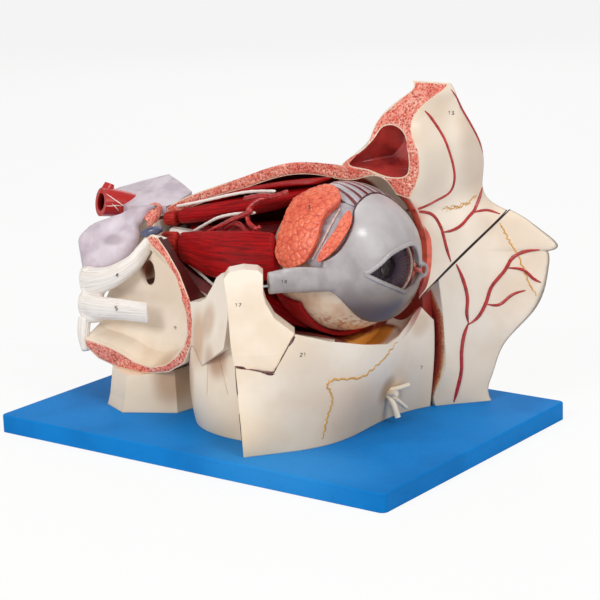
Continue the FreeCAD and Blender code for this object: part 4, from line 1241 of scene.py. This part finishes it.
print("numbers, vessels and sutures")
digits = {  # strokes in a box one wide and one and a half high
    "1": [[(0.2, 0.3), (0.55, 0), (0.55, 1.5)]],
    "2": [[(0, 0.3), (0.5, 0), (1, 0.4), (0.6, 0.9), (0, 1.5), (1, 1.5)]],
    "3": [[(0, 0.1), (0.9, 0.2), (0.4, 0.7), (1, 1.1), (0.5, 1.5), (0, 1.3)]],
    "4": [[(0.7, 1.5), (0.7, 0), (0, 1.0), (1, 1.0)]],
    "5": [[(1, 0), (0.1, 0), (0.1, 0.6), (0.8, 0.7), (0.9, 1.2), (0.4, 1.5), (0, 1.3)]],
    "7": [[(0, 0), (1, 0), (0.6, 0.8), (0.4, 1.5)]],
    "9": [[(0.9, 0.4), (0.4, 0.7), (0.1, 0.3), (0.6, 0), (0.9, 0.4), (0.7, 1.5)]],
}


numberStyle = {"size": 2.4, "step": 1.5, "stroke": 0.5, "tall": 0.35}


def drawNumber(number, place, surface, body):
    lines = []
    size = numberStyle["size"]
    for column, digit in enumerate(number):
        for stroke in digits[digit]:
            route = [(place[0] + (x + column * numberStyle["step"]) * size, place[1] + y * size)
                     for x, y in stroke]
            lines.append((numberStyle["stroke"], route))
    shape = {"tall": numberStyle["tall"], "lines": lines}
    drawLines("number_" + number, shape, surface, ink, body)


noseSurface = Surface("frontal_bone", "nasal_bone")
cheekSurface = Surface("cheek_bone", "cheek_process", "upper_jaw", "temple_wing")
faceArteries = {  # each line: its width, then its places in the camera's frame
    "tall": 0.42,
    "lines": [
        (1.8, [(424.8, 110.9), (431.4, 118), (443.1, 136.2), (449.7, 153.2), (453.6, 167.6),
               (454.4, 180.7), (449.7, 192.4), (436.6, 200.3), (420.9, 208.1), (406, 210.3)]),
        (2.1, [(406, 211), (424.8, 212.1), (434, 216), (440.5, 226.4), (443.1, 234.3), (447.1, 250),
               (451, 262)]),
        (2.1, [(443.3, 232.2), (452.3, 230.4), (461.5, 225.1), (469.3, 216), (474.5, 210),
               (480, 196), (482.6, 186)]),
        (1.9, [(473.8, 212.5), (481, 210.6), (488.9, 210.2), (500, 214)]),
        (1.3, [(484, 178), (484, 158.5), (478.8, 140.1), (469.8, 119.2), (459.4, 100.9),
               (451, 89.5)]),
        (2.4, [(456.2, 264), (462.8, 278.7), (467.5, 297), (466.7, 312.7), (468.5, 323.2)]),
        (2.6, [(468.5, 323.2), (464.1, 335), (461.5, 352), (461.5, 370.3), (457.5, 388.6),
               (453.8, 402)]),
        (2.4, [(468.6, 324.5), (478.5, 316.7), (486.3, 302.3), (491.5, 286.6), (504.6, 270.9),
               (512.4, 257.8), (525.5, 251.3), (540, 249.8)]),
        (2.1, [(487, 304.2), (499.4, 304.9), (512.4, 294.4), (525.5, 290.5)]),
        (2.1, [(507, 267.9), (522.9, 269.6), (533.4, 278.7), (541, 282.5)]),
    ],
}
faceSutures = {
    "tall": 0.2, "swing": 0.9,
    "lines": [
        (0.8, [(441.8, 209.6), (447, 207), (451, 209.5), (456.2, 206), (460, 208), (465.4, 203),
               (469, 203.5), (473, 197.5), (477.1, 195.5)]),
        (0.6, [(446, 211), (453, 206), (457, 208.5), (462, 203), (467, 205.5), (471, 199),
               (476, 198)]),
        (1.1, [(499.4, 222.5), (503, 229), (508.5, 239.5), (513, 247), (519, 257.8), (526, 275),
               (530.8, 286.6), (537, 296)]),
    ],
}
cheekSutures = {
    "tall": 0.2, "swing": 0.8,
    "lines": [
        (1.4, [(398, 341), (389, 352), (384, 359), (374, 368), (362, 377), (346, 379), (333, 380),
               (327, 385), (331, 393), (332, 402), (328, 415), (325, 428), (322, 440)]),
    ],
}
boneGaps = {
    "tall": 0.3,
    "lines": [
        (2.1, [(235, 366.5), (244, 368.5), (254, 370.5), (264, 372.5), (273, 373.5), (278, 365),
               (284, 355), (290, 344), (295, 336.5)]),
        (0.8, [(235, 367), (237, 390), (239.5, 415), (241.5, 440), (243, 455)]),
    ],
}
jawLines = {
    "tall": 0.4,
    "lines": [
        (0.8, [(208, 364), (207.5, 380), (207, 395)]),
        (0.8, [(219.5, 359), (224, 378), (228, 395)]),
    ],
}
drawLines("face_arteries", faceArteries, noseSurface, artery, "stand")
drawLines("face_sutures", faceSutures, noseSurface, sutureGold, "stand")
drawLines("cheek_sutures", cheekSutures, cheekSurface, sutureGold, "stand")
drawLines("bone_gaps", boneGaps, cheekSurface, gapRed, "stand")
drawLines("jaw_lines", jawLines, cheekSurface, bone, "stand")
carotidTwigs = {
    "tall": 0.4,
    "lines": [
        (0.7, [(106.3, 194), (111, 197), (116, 200.5), (121, 204), (126, 207.5)]),
        (0.6, [(105.2, 205.8), (111, 206), (116, 205.4), (122, 206)]),
        (0.6, [(112, 203.5), (115.5, 207), (118.5, 210.5)]),
    ],
}
drawLines("carotid_twigs", carotidTwigs, Surface("carotid_artery"), nerve, "stand")
trunkSurface = Surface("upper_nerve_trunk", "lower_nerve_trunk", "sphenoid_bone")
numbers = [
    ("4", (116, 273.5), trunkSurface, "stand"),
    ("5", (115, 306.5), trunkSurface, "stand"),
    ("9", (174, 326.5), trunkSurface, "stand"),
    ("17", (235, 303.5), cheekSurface, "side_bone"),
    ("21", (300, 353), cheekSurface, "stand"),
    ("7", (420, 366), cheekSurface, "stand"),
    ("13", (448, 111), noseSurface, "stand"),
    ("3", (308, 205), Surface("tear_gland_large"), "lids"),
    ("14", (281, 280), Surface("corner_band"), "lids"),
]
for number in numbers:
    drawNumber(*number)


# floor and background
studio = {
    "floorHalf": 4,  # metres
    "floorGlow": 0.85,  # share of the floor that the camera sees as plain white
    "ambient": 0.36,
    "backdrop": 1.0,
}


def makeFloor():
    mesh = bpy.data.meshes.new("floor")
    half = studio["floorHalf"]
    corners = [(-half, -half, 0), (half, -half, 0), (half, half, 0), (-half, half, 0)]
    mesh.from_pydata(corners, [], [(0, 1, 2, 3)])
    floor = bpy.data.objects.new("floor", mesh)
    bpy.context.scene.collection.objects.link(floor)
    paper = Finish("floorPaper", "", Roughness=0.9)
    paper.set(Base_Color=paper.mix(paper.grain(50, 3), "f4f4f2", "efefed"))
    glow = paper.node("ShaderNodeEmission")
    share = paper.node("ShaderNodeLightPath", out="Is Camera Ray") * studio["floorGlow"]
    painted = Wire(paper, paper.shader.outputs[0])
    blend = paper.node("ShaderNodeMixShader", None, {0: share, 1: painted, 2: glow})
    paper.feed(paper.tree.nodes["Material Output"].inputs[0], blend)
    mesh.materials.append(paper.material)


def makeWorld():  # white to the camera and through glass, dimmer as light
    world = bpy.data.worlds.new("studio")
    bpy.context.scene.world = world
    world.use_nodes = True
    sky = Graph(world.node_tree)
    white = (1, 1, 1, 1)
    ambient = sky.fill(sky.tree.nodes["Background"], {0: white, 1: studio["ambient"]})
    backdrop = sky.node("ShaderNodeBackground", None, {0: white, 1: studio["backdrop"]})
    direct = sky.node("ShaderNodeLightPath", out="Is Camera Ray")
    through = sky.node("ShaderNodeLightPath", out="Is Transmission Ray")
    shares = {0: direct.most(through), 1: ambient, 2: backdrop}
    blend = sky.node("ShaderNodeMixShader", None, shares)
    sky.feed(sky.tree.nodes["World Output"].inputs[0], blend)


makeCamera(cameraSetup)
makeLamps()
makeFloor()
makeWorld()
bpy.context.scene.view_settings.view_transform = "Standard"
